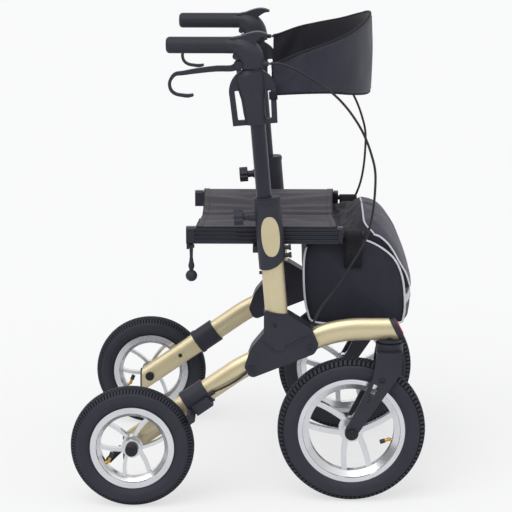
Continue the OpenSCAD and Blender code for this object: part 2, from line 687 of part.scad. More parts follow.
module fork_hardware(s) color(silver) hand(s) {
  translate([wheelbase, frame_y, front_r]) {
    bar_y(axle_d, -fork_out - 5, fork_out + 5);
    for (y = [-fork_out - 6, fork_out + fixed_gap]) difference() {
      bar_y(axle_d + 8, y, y + 6 - fixed_gap);
      bar_y(axle_d, y - 1, y + 7);
    }
  }
  translate([stem_x, frame_y, fork_z + 2]) cylinder(d = stem_d, h = beam_z + 10 - fork_z - 2);
  translate([stem_x, frame_y, crown_z + fixed_gap]) difference() {
    cylinder(d = crown_d - 12, h = washer_t - fixed_gap);
    translate([0, 0, -1]) cylinder(d = stem_d + 2 * fixed_gap, h = washer_t + 2);
  }
}

// Wheel, drawn at its own centre with its axis along Y
valve_angle = 214;
valve_d = 6.5;
valve_rise = 6;
valve_bend = 34;
valve_len = 9;
valve_cap_d = 9;
valve_cap = 11;
spoke_root = 12;
module rim(rim_d, dish, hub_w, flange_d, spoke_w, turn, valve) {
  edge = rim_d / 2;
  bed = edge - rim_well;
  inner = bed - dish;
  half = rim_w / 2;
  flat = spoke_t / 2 + 1.5;
  reach = sqrt(inner * inner - spoke_apart * spoke_apart / 4) + 2;
  root = hub_d / 2 - 9;
  feet = [for (k = [0:6]) let (t = k / 6)
            [root + t * (reach - root), spoke_root + (spoke_apart / 2 - spoke_root) * sin(90 * t)]];
  difference() {
    union() {
      rotate([90, 0, 0]) rotate_extrude() polygon([
        [edge, -half], [edge, rim_wall - half], [bed, rim_wall - half], [bed, -8], [inner + rim_wall, -5],
        [inner + rim_wall, 5], [bed, 8], [bed, half - rim_wall], [edge, half - rim_wall], [edge, half],
        [bed, half], [bed - 1, half - 3], [inner, flat], [inner, -flat], [bed - 1, 3 - half], [bed, -half]]);
      bar_y(hub_d, -hub_w / 2, hub_w / 2);
      bar_y(flange_d, -spoke_t / 2 - 1, spoke_t / 2 + 1);
      for (k = [0:2], m = [0, 1]) across(-spoke_t / 2, spoke_t / 2) rotate(turn + 120 * k) mirror([0, m])
        polygon(strip(feet, [for (p = feet) spoke_w / 2]));
    }
    bar_y(axle_d + 4, -hub_w, hub_w);
    for (y = [-hub_w / 2 - 1, hub_w / 2 - bearing_w]) bar_y(bearing_d + 2 * fixed_gap, y, y + bearing_w + 1);
  }
  for (y = [-hub_w / 2, hub_w / 2 - bearing_w + fixed_gap]) difference() {
    bar_y(bearing_d, y, y + bearing_w - fixed_gap);
    bar_y(axle_d + 2 * running_gap, y - 1, y + bearing_w + 1);
  }
  rotate([0, -valve, 0]) translate([inner - fixed_gap - valve_rise, 0, 0]) {
    bar_x(valve_d, 0, valve_rise);
    sphere(d = valve_d + 1);
    rotate([0, -valve_bend, 0]) {
      bar_x(valve_d, -valve_len, 0);
      bar_x(valve_cap_d, -valve_len - valve_cap, -valve_len);
    }
  }
}
// Air tyre: a casing that is open towards the rim, with its beads between the rim's edges
tyre_wall = 8;
bead_w = 5;
module tyre(tyre_d, tyre_w, rim_d) {
  edge = rim_d / 2;
  bead = rim_w / 2 - rim_wall - fixed_gap;
  mid = tyre_d / 2 - tyre_w / 2;
  rotate([90, 0, 0]) rotate_extrude() difference() {
    union() {
      intersection() {
        translate([mid, 0]) circle(d = tyre_w);
        translate([edge + fixed_gap, -tyre_w]) square([tyre_d, 2 * tyre_w]);
      }
      translate([edge - rim_well + fixed_gap, -bead]) square([rim_well + tyre_wall, 2 * bead]);
    }
    translate([mid, 0]) circle(d = tyre_w - 2 * tyre_wall);
    translate([edge - rim_well, bead_w - bead]) square([rim_well + tyre_wall, 2 * (bead - bead_w)]);
  }
}
petal_turn = 38;
front_dish = 13;
rear_dish = 8;
module at_rear_wheel(s) hand(s) translate([0, rear_y, rear_r]) children();
module at_front_wheel(s) hand(s) translate([wheelbase, frame_y, front_r]) children();
module rear_rim(s) color(silver) at_rear_wheel(s)
  rim(rear_rim_d, rear_dish, rear_hub_w, rear_flange_d, rear_spoke_w, petal_turn, valve_angle);
module front_rim(s) color(silver) at_front_wheel(s)
  rim(front_rim_d, front_dish, fork_gap - 2 * free_gap, front_flange_d, front_spoke_w, petal_turn,
      valve_angle + 130);
module rear_tyre(s) color(rubber) at_rear_wheel(s) tyre(rear_tyre_d, rear_tyre_w, rear_rim_d);
module front_tyre(s) color(rubber) at_front_wheel(s) tyre(front_tyre_d, front_tyre_w, front_rim_d);

// Height knob: a fluted head on a screw that bears on the handle tube
module clamp_knob(s) color(black) hand(s) at_post() translate([0, 0, knob_at]) {
  x0 = -collar_l / 2 - knob_reach;
  bar_x(screw_d, x0, -tube_back - handle_d / 2 - free_gap);
  bar_x(15, x0, -collar_l / 2 - knob_boss - free_gap);
  difference() {
    bar_x(knob_d, x0 - knob_len, x0);
    for (k = [0:7]) rotate([45 * k, 0, 0]) translate([0, knob_d / 2 + 3, 0]) bar_x(10, x0 - knob_len - 1, x0 + 1);
  }
}

// Handle: everything here is measured from the foot of the post, up the handle tube
module handle_tube(s) color(black) hand(s) at_handle() translate([0, 0, handle_rise - 2 - handle_len])
  difference() {
  cylinder(d = handle_d, h = handle_len);
  translate([0, 0, -1]) cylinder(d = handle_d - 2 * handle_wall, h = handle_len - 5);
}

// Horseshoe yoke on the handle tube: the backrest band loops through its front leg
yoke_z = handle_rise - 10 - yoke_r;
yoke_back = 5;
yoke_drop = 66;
leg_w = 11;
leg_in = 2.5;
slot_low = -56;
slot_top = 4;
yoke_pts = [[-yoke_r - yoke_back, yoke_z + 4], [leg_in - yoke_r - yoke_back, yoke_z - yoke_drop],
            [yoke_r - yoke_back - leg_in, yoke_z - yoke_drop], [yoke_r - yoke_back, yoke_z + 4]];
// Cup of the yoke round the tube: centre, height, half length and half width of its sections
cup = smooth([[-3.1, -66, 20.4, 18.4], [-4.8, -42, 22.2, 18.6], [-5.2, -15, 24, 19.5], [-6.7, 10, 28.2, 21],
              [-8, 32, 29, 21], [-5, 40, 23, 19], [-2, 46.6, 19, 17.5]], 2);
cup_sides = 28;
module yoke_slot(x0, x1, x2, x3) polygon(rounded(
  [[x0, yoke_z + slot_top], [x1, yoke_z + slot_low], [x2, yoke_z + slot_low], [x3, yoke_z + slot_top]], 2));
module yoke(s) color(black) hand(s) at_handle() difference() {
  union() {
    across(-yoke_t / 2, yoke_t / 2) difference() {
      union() {
        translate([-yoke_back, yoke_z]) circle(yoke_r);
        polygon(yoke_pts);
      }
      yoke_slot(leg_w - yoke_r - yoke_back, leg_w + leg_in - yoke_r - yoke_back, -16, -20);
      yoke_slot(10, 10, yoke_r - yoke_back - leg_in - leg_w, yoke_r - yoke_back - leg_w);
    }
    translate([0, 0, yoke_z]) skin([for (c = cup) [for (k = [0:cup_sides - 1]) let (a = 360 * k / cup_sides)
      [c[0] + c[2] * cos(a), c[3] * sin(a), c[1]]]]);
  }
  translate([0, 0, yoke_z - 2 * yoke_r]) cylinder(d = handle_d + 2 * running_gap, h = 4 * yoke_r);
}

// Handle housing: elbow, neck, thumb rest, the bar inside the grip and the lever's cheeks with their pin
level = 90 - lean;
neck_h = 12;
stub_len = 14;
stub_lap = 1;
stub_step = 0.2;
elbow_steps = 9;
elbow_swell = 4;
pivot_fwd = 10;
pivot_drop = 39;
cheek_t = 5;
cheek_d = 16;
eye_out_d = 20;
bump_at = [4, 16.5];
bump_d = 12;
module at_elbow() translate([-elbow_r, 0, handle_rise]) children();
module at_grip() at_elbow() rotate([0, -level, 0]) translate([elbow_r, 0, 0]) children();
module at_level() at_elbow() rotate([0, lean, 0]) children();
module at_pivot() at_level() translate([pivot_fwd, 0, elbow_r - pivot_drop]) children();
elbow_line = [for (k = [0:elbow_steps]) let (a = level * k / elbow_steps) elbow_r * [cos(a), 0, sin(a)]];
elbow_widths = [for (k = [0:elbow_steps]) let (t = k / elbow_steps)
                  neck_d * (1 - t * t * t) + grip_d * t * t * t + elbow_swell * sin(180 * t)];
thumb_pts = concat(smooth([[-6, 53], [12, 56], [26, 61], [42, 65], [56, 64.5], [67, 60.5]], 3),
                   smooth([[66, 57.5], [56, 56], [46, 50], [34, 40]], 3), [[8, 40]]);
thumb_half = 13;
module handle_housing(s) color(black) hand(s) at_handle() {
  difference() {
    union() {
      at_elbow() route_tube(elbow_line, elbow_widths, 24);
      at_grip() translate([0, 0, -stub_lap]) cylinder(d = grip_d + 2 * stub_step, h = stub_len + stub_lap);
      at_grip() cylinder(d = bar_d, h = stub_len + grip_len - 8);
      translate([0, 0, handle_rise - 10 + free_gap]) cylinder(d = neck_d + 2 * stub_step, h = neck_h);
      at_level() across(-thumb_half, thumb_half) polygon(thumb_pts);
      at_level() translate([bump_at.x, 0, bump_at.y]) bar_y(bump_d, -bump_d, bump_d);
      at_pivot() for (y = [-lever_t / 2 - free_gap - cheek_t, lever_t / 2 + free_gap]) {
        bar_y(cheek_d, y, y + cheek_t);
        translate([0, y, -cheek_d / 4]) cube([cheek_d, cheek_t, cheek_d / 2]);
      }
      at_level() translate([0, gland_y, gland_z]) bar_x(gland_d, elbow_r + 10, elbow_r + gland_len);
    }
    translate([0, 0, handle_rise - 20]) cylinder(d = handle_d + 2 * running_gap, h = 18.5);
    at_pivot() bar_y(eye_out_d + 2 * free_gap, -lever_t / 2 - free_gap, lever_t / 2 + free_gap);
  }
  at_pivot() bar_y(lever_pin_d, -lever_t / 2 - free_gap - cheek_t, lever_t / 2 + free_gap + cheek_t);
}
module grip(s) color(rubber) hand(s) at_handle() at_grip() translate([0, 0, stub_len + fixed_gap]) difference() {
  rotate_extrude() polygon([[0, 0], [grip_d / 2, 0],
    each corner([grip_d / 2, 0], [grip_d / 2, grip_len], [0, grip_len], 8), [0, grip_len]]);
  translate([0, 0, -1]) cylinder(d = bar_d + 2 * fixed_gap, h = grip_len - 6);
}

// Brake lever: a tapered arm from its pivot to a hooked end, as x, z and half width of its line
lever_form = smooth([[0, 0, 9], [-14, -7, 6], [-44, -7.6, 5.6], [-82, -12, 5], [-110, -16.5, 4.2],
                     [-127, -19.5, 3.8], [-137, -34, 3.2], [-135.5, -49, 3], [-126, -58, 3], [-112, -61, 3.2],
                     [-100, -62, 3.4], [-90, -60, 2.6]], 3);
module brake_lever(s) color(black) hand(s) at_handle() at_pivot() difference() {
  union() {
    across(-lever_t / 2, lever_t / 2)
      polygon(strip([for (p = lever_form) [p.x, p.y]], [for (p = lever_form) p.z]));
    bar_y(eye_out_d, -lever_t / 2, lever_t / 2);
  }
  bar_y(lever_pin_d + 2 * running_gap, -lever_t, lever_t);
}

// Folding brace: two crossed bars, from a bracket low on one side to the seat rail on the other
module brace_bar(s) difference() {
  translate([bar_at(s), s * rail_y, brace_z0]) rotate([s < 0 ? brace_angle : 180 - brace_angle, 0, 0])
    forward(0, brace_t) translate([brace_span / 2, 0]) stadium(brace_span + brace_w, brace_w);
  for (e = [[s * rail_y, brace_z0], [0, (brace_z0 + brace_z1) / 2], [-s * rail_y, brace_z1]])
    translate([0, e.x, e.y]) bar_x(pin_d + 2 * running_gap, 0, wheelbase);
}
module rear_cross_bar() color(black) centred() brace_bar(-1);
module front_cross_bar() color(black) centred() brace_bar(1);
module cross_bolt() color(silver) centred() translate([0, 0, (brace_z0 + brace_z1) / 2]) {
  bar_x(pin_d, brace_x - brace_t - 6, brace_x + brace_t + 6);
  for (x = [brace_x - brace_t - 6, brace_x + brace_t + 1 + free_gap]) difference() {
    bar_x(pin_d + 8, x, x + 4);
    bar_x(pin_d, x - 1, x + 7);
  }
}

// Seat rail: a ribbed extrusion with a clevis for the brace, end caps and the rod that the bag hangs on
clevis_t = 2.2;
rail_rib = 5;
rail_cap = 18;
eye_d = 11;
eye_pin_d = 5;
eye_drop = 7;
eye_t = 5;
eye_x = rail_at - 8;
module seat_rail(s) color(black) hand(s) {
  forward(rail_at, rail_end) translate([rail_y, rail_z]) difference() {
    translate([-rail_w / 2, 0]) square([rail_w, rail_h]);
    for (k = [1:3]) translate([rail_w / 2, k * rail_h / 4]) circle(d = rail_rib);
  }
  difference() {
    union() {
      for (x = ear_at(-s)) forward(x, x + lug_t) {
        translate([rail_y, brace_z1]) circle(d = rail_w);
        translate([rail_y - rail_w / 2, brace_z1]) square([rail_w, brace_drop - fixed_gap]);
      }
      forward(ear_at(-s)[0], ear_at(-s)[1] + lug_t) translate([rail_y - rail_w / 2, rail_z - fixed_gap - clevis_t])
        square([rail_w, clevis_t]);
    }
    translate([0, rail_y, brace_z1]) bar_x(pin_d + 2 * fixed_gap, rail_at, rail_end);
  }
  translate([0, rail_y, brace_z1]) bar_x(pin_d, ear_at(-s)[0] - 2, ear_at(-s)[1] + lug_t + 2);
  forward(rail_at - rail_cap, rail_at - fixed_gap) translate([rail_y, rail_z + rail_h / 2])
    round_rect(rail_w + 3, rail_h + 2, 6);
  if (s < 0) {
    x0 = eye_x - strap_d / 2 - free_gap - eye_t;
    forward(x0, x0 + eye_t) translate([rail_y - eye_d / 2, rail_z - eye_drop - eye_d / 2])
      square([eye_d, 2 * eye_d]);
    translate([0, rail_y, rail_z - eye_drop]) {
      bar_x(eye_pin_d, x0 + eye_t / 2, eye_x + strap_d / 2 + free_gap + 2);
      bar_x(eye_pin_d + 3, eye_x + strap_d / 2 + free_gap, eye_x + strap_d / 2 + free_gap + 2);
    }
  }
  difference() {
    forward(rail_end + fixed_gap, rail_end + 9) translate([rail_y, rail_z + rail_h / 2])
      round_rect(rail_w + 2, rail_h + 2, 6);
    translate([0, rail_y, rod_z]) bar_x(rod_d, rail_end, rail_end + 10);
  }
  translate([0, rail_y, rod_z]) bar_x(rod_d, rail_end + fixed_gap, rail_end + 9 + rod_len);
}

// Seat cloth: slung between the tops of the two rails
module seat_cloth() color(cloth_dark) centred() {
  y0 = rail_y + rail_w / 2;
  y1 = rail_y - rail_w / 2;
  top = rail_z + rail_h + fixed_gap;
  sag = [for (k = [-8:8]) [y1 * k / 8, top - cloth_sag * (1 - pow(k / 8, 2))]];
  forward(rail_at + 4, rail_end - 4) polygon(concat(
    [[-y0, top]], sag, [[y0, top], [y0, top + cloth_t]], [for (k = [16:-1:0]) sag[k] + [0, cloth_t]],
    [[-y0, top + cloth_t]]));
}

// Rubber strap with a ball, which hangs from the right rail and holds the folded frame shut
strap_d = 8;
strap_len = 62;
strap_pts = [[0, 0], [4, 0], [4.2, 13], [6.4, 19], [6.2, 23], [4.4, 30], [3.2, 40], [4, strap_len],
             [0, strap_len]];
ball_d = 24;
module fold_strap() color(rubber) hand(-1) translate([eye_x, rail_y, rail_z - eye_drop]) difference() {
  union() {
    translate([0, 0, -strap_len]) rotate_extrude() polygon(strap_pts);
    bar_x(eye_d, -strap_d / 2, strap_d / 2);
    translate([0, 0, -strap_len]) sphere(d = ball_d);
  }
  bar_x(eye_pin_d + 2 * running_gap, -strap_d, strap_d);
}

// Bag under the front of the seat, on straps over the hanger rods
bag_depth = 173;
bag_top = 74;
bag_low = rail_z - bag_depth;
bag_half_w = rail_y - bag_in;
bag_pts = [[-68, -bag_depth], [-74, -45], [-60, 2], [6, 4], [12, 46], [54, bag_top], [104, 42], [137, -36],
           [155, -111], [152, -159], [130, -bag_depth]];
bag_radii = [10, 40, 10, 10, 20, 20, 40, 60, 30, 14, 14];
bag_edge = rail_z + bag_top - bag_crown;
strap_l = 36;
bag_wall = 3;
bag_mid = [40, -60];
bag_l = 229;
module bag_form(inset) intersection() {
  translate([rail_end + bag_mid.x, 0, rail_z + bag_mid.y]) across(inset - bag_half_w, bag_half_w - inset)
    scale(1 - 2 * inset / bag_l) translate(-bag_mid) polygon(rounded(bag_pts, bag_radii));
  forward(rail_at, rail_end + rail_len) polygon(concat(
    [[-bag_half_w, bag_low - 10], [bag_half_w, bag_low - 10]],
    [for (k = [8:-1:-8]) [bag_half_w * k / 8, bag_edge + bag_crown * (1 - pow(k / 8, 2)) - inset]]));
}
module bag() color(bag_dark) centred() {
  difference() {
    bag_form(0);
    bag_form(bag_wall);
  }
  for (s = [-1, 1]) difference() {
    mirror([0, s < 0 ? 1 : 0, 0]) forward(rail_end + 12, rail_end + 12 + strap_l)
      translate([bag_half_w - 1, rod_z - 34]) square([rail_y + rod_d / 2 + 3 - bag_half_w, 42]);
    translate([0, s * rail_y, rod_z]) bar_x(rod_d + 2 * fixed_gap, rail_end, rail_end + 2 * rod_len);
  }
}

// Backrest band: an arc in plan, taller in the middle, with a loop round the front leg of each yoke
band_foot = on_post(-handle_back, handle_rise);
band_fwd = 12;
band_r = frame_y - yoke_t / 2 - band_t / 2 - 2 * free_gap;
band_end = 37.5;
band_low = [[band_end, -64], [154, -74], [234, -90], [314, -92]];
band_high = [[314, 84], [254, 80], [194, 52], [114, 20], [band_end, 2]];
band_tall = 400;
loop_h = 14;
loop_t = 3;
loop_gap = 0.8;
loop_at = 9;
loop_tilt = atan2(leg_in, yoke_drop + 4);
module band_loop() at_handle() translate([yoke_r - yoke_back - leg_w / 2 - 0.5, 0, yoke_z - loop_at])
  rotate([0, loop_tilt, 0]) translate([0, 0, -loop_h / 2]) linear_extrude(loop_h) difference() {
    square([leg_w + 2 * loop_gap + 2 * loop_t, yoke_t + 2 * free_gap + 2 * loop_t], center = true);
    square([leg_w + 2 * loop_gap, yoke_t + 2 * free_gap], center = true);
  }
module backrest_band() color(bag_dark) centred() {
  translate([band_foot.x, 0, band_foot.y]) intersection() {
    translate([band_fwd, 0, -band_tall / 2]) linear_extrude(band_tall) difference() {
      circle(band_r + band_t / 2);
      circle(band_r - band_t / 2);
    }
    across(-frame_track, frame_track)
      polygon(concat(band_low, [band_high[0]], smooth([for (k = [1:4]) band_high[k]], 3)));
  }
  for (s = [0, 1]) mirror([0, s, 0]) band_loop();
}

// Names of the pieces

beam(-1);  // right_beam
beam(1);  // left_beam
rear_leg(-1);  // right_rear_leg
rear_leg(1);  // left_rear_leg
rear_plug(-1);  // right_rear_plug
rear_plug(1);  // left_rear_plug
leg_sleeve(-1);  // right_leg_sleeve
leg_sleeve(1);  // left_leg_sleeve
brake_shoe(-1);  // right_brake_shoe
brake_shoe(1);  // left_brake_shoe
post(-1);  // right_post
post(1);  // left_post
collar(-1);  // right_collar
collar(1);  // left_collar
collar_inlay(-1);  // right_collar_inlay
collar_inlay(1);  // left_collar_inlay
bracket_outer(-1);  // right_bracket_outer
bracket_outer(1);  // left_bracket_outer
bracket_inner(-1);  // right_bracket_inner
bracket_inner(1);  // left_bracket_inner
front_cap(-1);  // right_front_cap
front_cap(1);  // left_front_cap
fasteners(-1);  // right_fasteners
fasteners(1);  // left_fasteners
brake_cable(-1);  // right_brake_cable
brake_cable(1);  // left_brake_cable
fork(-1);  // right_fork
fork(1);  // left_fork
fork_hardware(-1);  // right_fork_hardware
fork_hardware(1);  // left_fork_hardware
front_rim(-1);  // right_front_rim
front_rim(1);  // left_front_rim
front_tyre(-1);  // right_front_tyre
front_tyre(1);  // left_front_tyre
rear_rim(-1);  // right_rear_rim
rear_rim(1);  // left_rear_rim
rear_tyre(-1);  // right_rear_tyre
rear_tyre(1);  // left_rear_tyre
clamp_knob(-1);  // right_clamp_knob
clamp_knob(1);  // left_clamp_knob
handle_tube(-1);  // right_handle_tube
handle_tube(1);  // left_handle_tube
yoke(-1);  // right_yoke
yoke(1);  // left_yoke
handle_housing(-1);  // right_handle_housing
handle_housing(1);  // left_handle_housing
grip(-1);  // right_grip
grip(1);  // left_grip
brake_lever(-1);  // right_brake_lever
brake_lever(1);  // left_brake_lever
seat_rail(-1);  // right_seat_rail
seat_rail(1);  // left_seat_rail
rear_cross_bar();
front_cross_bar();
cross_bolt();
seat_cloth();
fold_strap();
bag();
backrest_band();
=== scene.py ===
"""Looks of the all-terrain rollator: a finish for every solid, the air tyres, and the sewn pieces.

Lengths are metres in the row frame: X forward, Y to the user's left, Z up from the floor.
"""
import json
import math

import bmesh
import bpy
import numpy as np
from mathutils import Matrix, Vector, noise
from mathutils.bvhtree import BVHTree


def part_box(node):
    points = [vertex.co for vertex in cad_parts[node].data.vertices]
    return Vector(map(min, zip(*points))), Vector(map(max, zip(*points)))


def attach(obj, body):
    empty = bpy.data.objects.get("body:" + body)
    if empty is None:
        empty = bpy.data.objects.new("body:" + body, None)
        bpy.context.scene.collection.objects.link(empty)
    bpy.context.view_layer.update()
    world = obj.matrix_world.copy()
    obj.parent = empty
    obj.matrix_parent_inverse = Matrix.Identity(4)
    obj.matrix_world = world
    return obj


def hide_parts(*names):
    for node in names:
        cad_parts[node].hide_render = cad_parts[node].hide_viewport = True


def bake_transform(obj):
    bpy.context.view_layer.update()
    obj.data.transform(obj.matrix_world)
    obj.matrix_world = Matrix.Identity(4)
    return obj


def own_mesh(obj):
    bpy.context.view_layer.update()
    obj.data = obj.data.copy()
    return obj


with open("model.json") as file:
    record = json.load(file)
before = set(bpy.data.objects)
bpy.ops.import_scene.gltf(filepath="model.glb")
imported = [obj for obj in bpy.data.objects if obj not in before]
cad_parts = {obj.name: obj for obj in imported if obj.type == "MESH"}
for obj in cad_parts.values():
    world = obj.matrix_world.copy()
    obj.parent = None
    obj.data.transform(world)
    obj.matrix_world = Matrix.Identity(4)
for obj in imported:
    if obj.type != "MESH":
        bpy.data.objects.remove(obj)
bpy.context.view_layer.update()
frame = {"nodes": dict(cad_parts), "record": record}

SIDES = {"right": -1, "left": 1}

# Places that the solids share with the pieces made here
REAR_AXLE = Vector((-0.23725, 0.285, 0.127))
FRONT_AXLE = Vector((0.21175, 0.243, 0.1525))
FRAME_Y = 0.243
RAIL_Y, RAIL_HALF = 0.198, 0.010
RAIL_TOP = 0.5676
SEAT_BACK, SEAT_FRONT = -0.1063, 0.1788
ROD_X0, ROD_X1, ROD_Z = 0.195, 0.231, 0.5534
BAND_X, BAND_R = 0.0207, 0.2292
YOKE_LEG_X, YOKE_LEG_Z = 0.0495, 0.8440


class Socket:
    """An output of a material's nodes. Arithmetic on it adds Math nodes, and node() adds any other node."""

    def __init__(self, tree, output=None):
        self.tree = tree
        self.output = output

    def node(self, kind, settings=None, inputs=None, out=0):
        made = self.tree.nodes.new(kind)
        for name, value in (settings or {}).items():
            setattr(made, name, value)
        for name, value in (inputs or {}).items():
            socket = made.inputs[name]
            if isinstance(value, Socket):
                self.tree.links.new(value.output, socket)
            else:
                socket.default_value = value
        return Socket(self.tree, made.outputs[out])

    def math(self, operation, *others):
        return self.node("ShaderNodeMath", {"operation": operation}, dict(enumerate((self, *others))))

    def __add__(self, other):
        return self.math("ADD", other)

    def __sub__(self, other):
        return self.math("SUBTRACT", other)

    def __rsub__(self, other):
        return self.math("MULTIPLY_ADD", -1.0, other)

    def __mul__(self, other):
        return self.math("MULTIPLY", other)

    __radd__ = __add__
    __rmul__ = __mul__

    def step(self, low, high):
        """0 below low and 1 above high, smooth between."""
        return self.node("ShaderNodeMapRange", {"interpolation_type": "SMOOTHSTEP"},
                         {"Value": self, "From Min": low, "From Max": high})

    def mix(self, first, second):
        """first where this is 0 and second where it is 1, as colours."""
        inputs = {0: self, 6: first, 7: second}
        inputs = {k: v if isinstance(v, Socket) else (*v, 1) for k, v in inputs.items()}
        return self.node("ShaderNodeMix", {"data_type": "RGBA"}, inputs, 2)

    def noise(self, scale, detail=3, roughness=0.55):
        """Cloudy values from 0 to 1 at this vector."""
        return self.node("ShaderNodeTexNoise", {}, {"Vector": self, "Scale": scale, "Detail": detail,
                                                    "Roughness": roughness})

    def cells(self, scale, out="Distance"):
        """Cells at this vector: the distance from a cell's middle, or its own colour."""
        return self.node("ShaderNodeTexVoronoi", {}, {"Vector": self, "Scale": scale}, out)

    def parts(self):
        return [self.node("ShaderNodeSeparateXYZ", {}, {0: self}, k) for k in range(3)]


RELIEF_STRENGTH = 0.8


def finish(name, paint):
    """A new material. paint takes the Object coordinates and gives the shader's values by socket name.
    The height of any relief, in metres, is under "Relief"."""
    material = bpy.data.materials.new(name)
    material.use_nodes = True
    tree = material.node_tree
    shader = tree.nodes["Principled BSDF"]
    values = paint(Socket(tree).node("ShaderNodeTexCoord", out="Object"))
    relief = values.pop("Relief", None)
    if relief is not None:
        values["Normal"] = relief.node("ShaderNodeBump", {}, {"Height": relief, "Distance": 1.0,
                                                              "Strength": RELIEF_STRENGTH})
    for key, value in values.items():
        if isinstance(value, Socket):
            tree.links.new(value.output, shader.inputs[key])
        else:
            shader.inputs[key].default_value = (*value, 1) if isinstance(value, tuple) else value
    return material


def champagne(at):
    """Metallic paint: fine flakes under a clear coat, with a little dust in broad clouds."""
    flake = at.cells(2600.0, "Color").parts()[0]
    cloud = at.noise(9.0)
    tone = (flake * 0.35 + cloud * 0.3).step(0.1, 0.6)
    return {"Base Color": tone.mix((0.56, 0.475, 0.29), (0.73, 0.64, 0.42)), "Metallic": 0.6,
            "Roughness": 0.3 + cloud * 0.14, "Coat Weight": 0.3, "Coat Roughness": 0.14,
            "Relief": at.noise(420.0, detail=1) * 0.00003}


# The two tones of black plastic and tube
BLACK_TONES = (0.015, 0.015, 0.025), (0.028, 0.028, 0.042)


def moulded(at):
    """Black moulded plastic with a fine spark-eroded grain."""
    grain = at.noise(1500.0, detail=2)
    cloud = at.noise(14.0)
    return {"Base Color": cloud.mix(*BLACK_TONES), "Specular IOR Level": 0.36,
            "Roughness": 0.38 + 0.16 * grain + 0.06 * cloud, "Relief": grain * 0.00009}


def anodised(at):
    """Black anodised tube with faint drawing lines along its length."""
    stretched = at.node("ShaderNodeMapping", {}, {"Vector": at, "Scale": (900.0, 900.0, 25.0)})
    lines = stretched.noise(1.0, detail=2)
    cloud = at.noise(11.0)
    return {"Base Color": cloud.mix(*BLACK_TONES), "Metallic": 0.3, "Specular IOR Level": 0.4,
            "Roughness": 0.28 + 0.12 * lines, "Relief": lines * 0.00002}


def blackened(at):
    wear = at.noise(160.0)
    return {"Base Color": wear.mix((0.014, 0.014, 0.017), (0.045, 0.045, 0.05)), "Metallic": 0.7,
            "Roughness": 0.34 + 0.2 * wear}


def plated(at):
    smear = at.noise(120.0)
    return {"Base Color": smear.mix((0.46, 0.47, 0.49), (0.64, 0.65, 0.67)), "Metallic": 1.0,
            "Roughness": 0.22 + 0.16 * smear}


def near_line(at, start, ahead, low, high, reach):
    """1 within reach of the stretch from low to high along a line in X and Z, and 0 elsewhere."""
    x, _, z = at.parts()
    dx, dz = x - start[0], z - start[1]
    along = dx * ahead[0] + dz * ahead[1]
    off = (dz * ahead[0] - dx * ahead[1]).math("ABSOLUTE")
    inside = along.math("GREATER_THAN", low) * along.math("LESS_THAN", high)
    return inside * off.math("LESS_THAN", reach)


# Valves: the start and direction of each one's line in X and Z, the places along it, and the reach about it
FRONT_VALVE, FRONT_VALVE_AHEAD = (0.29038, 0.12995), (-0.9511, -0.3090)
REAR_VALVE, REAR_VALVE_AHEAD = (-0.28683, 0.09356), (0.3746, 0.9272)
VALVE_FOOT, VALVE_NECK, VALVE_TIP = -0.0055, 0.0090, 0.0215
BRASS_REACH, CAP_REACH = 0.0052, 0.0060


def cast_rim(valve, ahead):
    """Cast rim, turned on its faces and lacquered. Its valve is brass with a black cap."""
    def paint(at):
        cast = at.noise(600.0, detail=2)
        cloud = at.noise(18.0)
        silver = cloud.mix((0.60, 0.61, 0.63), (0.80, 0.81, 0.83))
        brass = near_line(at, valve, ahead, VALVE_FOOT, VALVE_NECK, BRASS_REACH)
        cap = near_line(at, valve, ahead, VALVE_NECK, VALVE_TIP, CAP_REACH)
        colour = cap.mix(brass.mix(silver, (0.62, 0.36, 0.07)), (0.012, 0.012, 0.014))
        return {"Base Color": colour, "Metallic": 0.95 - 0.95 * cap, "Coat Weight": 0.2,
                "Roughness": 0.13 + 0.1 * cast + 0.06 * cloud + 0.25 * cap, "Relief": cast * 0.00004}
    return paint


def tyre_rubber(at):
    """Tyre rubber, greyer where it is dusty."""
    grain = at.noise(900.0, detail=2)
    dust = at.noise(26.0)
    return {"Base Color": dust.mix((0.015, 0.016, 0.025), (0.031, 0.033, 0.047)),
            "Roughness": 0.55 + 0.2 * dust, "Specular IOR Level": 0.35, "Relief": grain * 0.00008}


def groove_shade_rubber(at):
    """Floor of the tread, painted dark as the shade in the grooves, with a fine grit grain."""
    grit = at.noise(420.0, detail=2)
    return {"Base Color": grit.mix((0.003, 0.003, 0.004), (0.010, 0.010, 0.012)), "Roughness": 0.85,
            "Specular IOR Level": 0.15, "Relief": grit * 0.0002}


def soft_rubber(at):
    grain = at.noise(1100.0, detail=2)
    cloud = at.noise(22.0)
    return {"Base Color": cloud.mix((0.015, 0.015, 0.024), (0.029, 0.029, 0.042)),
            "Roughness": 0.5 + 0.2 * grain, "Specular IOR Level": 0.35, "Relief": grain * 0.0001}


def sheath(at):
    rub = at.noise(70.0)
    return {"Base Color": rub.mix((0.010, 0.010, 0.013), (0.022, 0.022, 0.026)),
            "Roughness": 0.34 + 0.2 * rub, "Specular IOR Level": 0.35}


def woven(dark, light, pitch, rough=0.62):
    """Plain-woven nylon. Its threads follow the piece's own UV map, in metres."""
    def paint(at):
        u, v, _ = at.node("ShaderNodeTexCoord", out="UV").parts()
        turns = 2 * math.pi / pitch
        thread = (u * turns).math("SINE") * (v * turns).math("SINE") * 0.5 + 0.5
        cloud = at.noise(13.0)
        fade = at.noise(60.0, detail=4)
        tone = thread * 0.2 + cloud * 0.45 + fade * 0.25
        return {"Base Color": tone.step(0.2, 0.7).mix(dark, light), "Roughness": rough + 0.16 * fade,
                "Specular IOR Level": 0.3, "Sheen Weight": 0.1, "Sheen Roughness": 0.4,
                "Relief": thread * 0.00012}
    return paint


RIB_TURNS = 4200.0


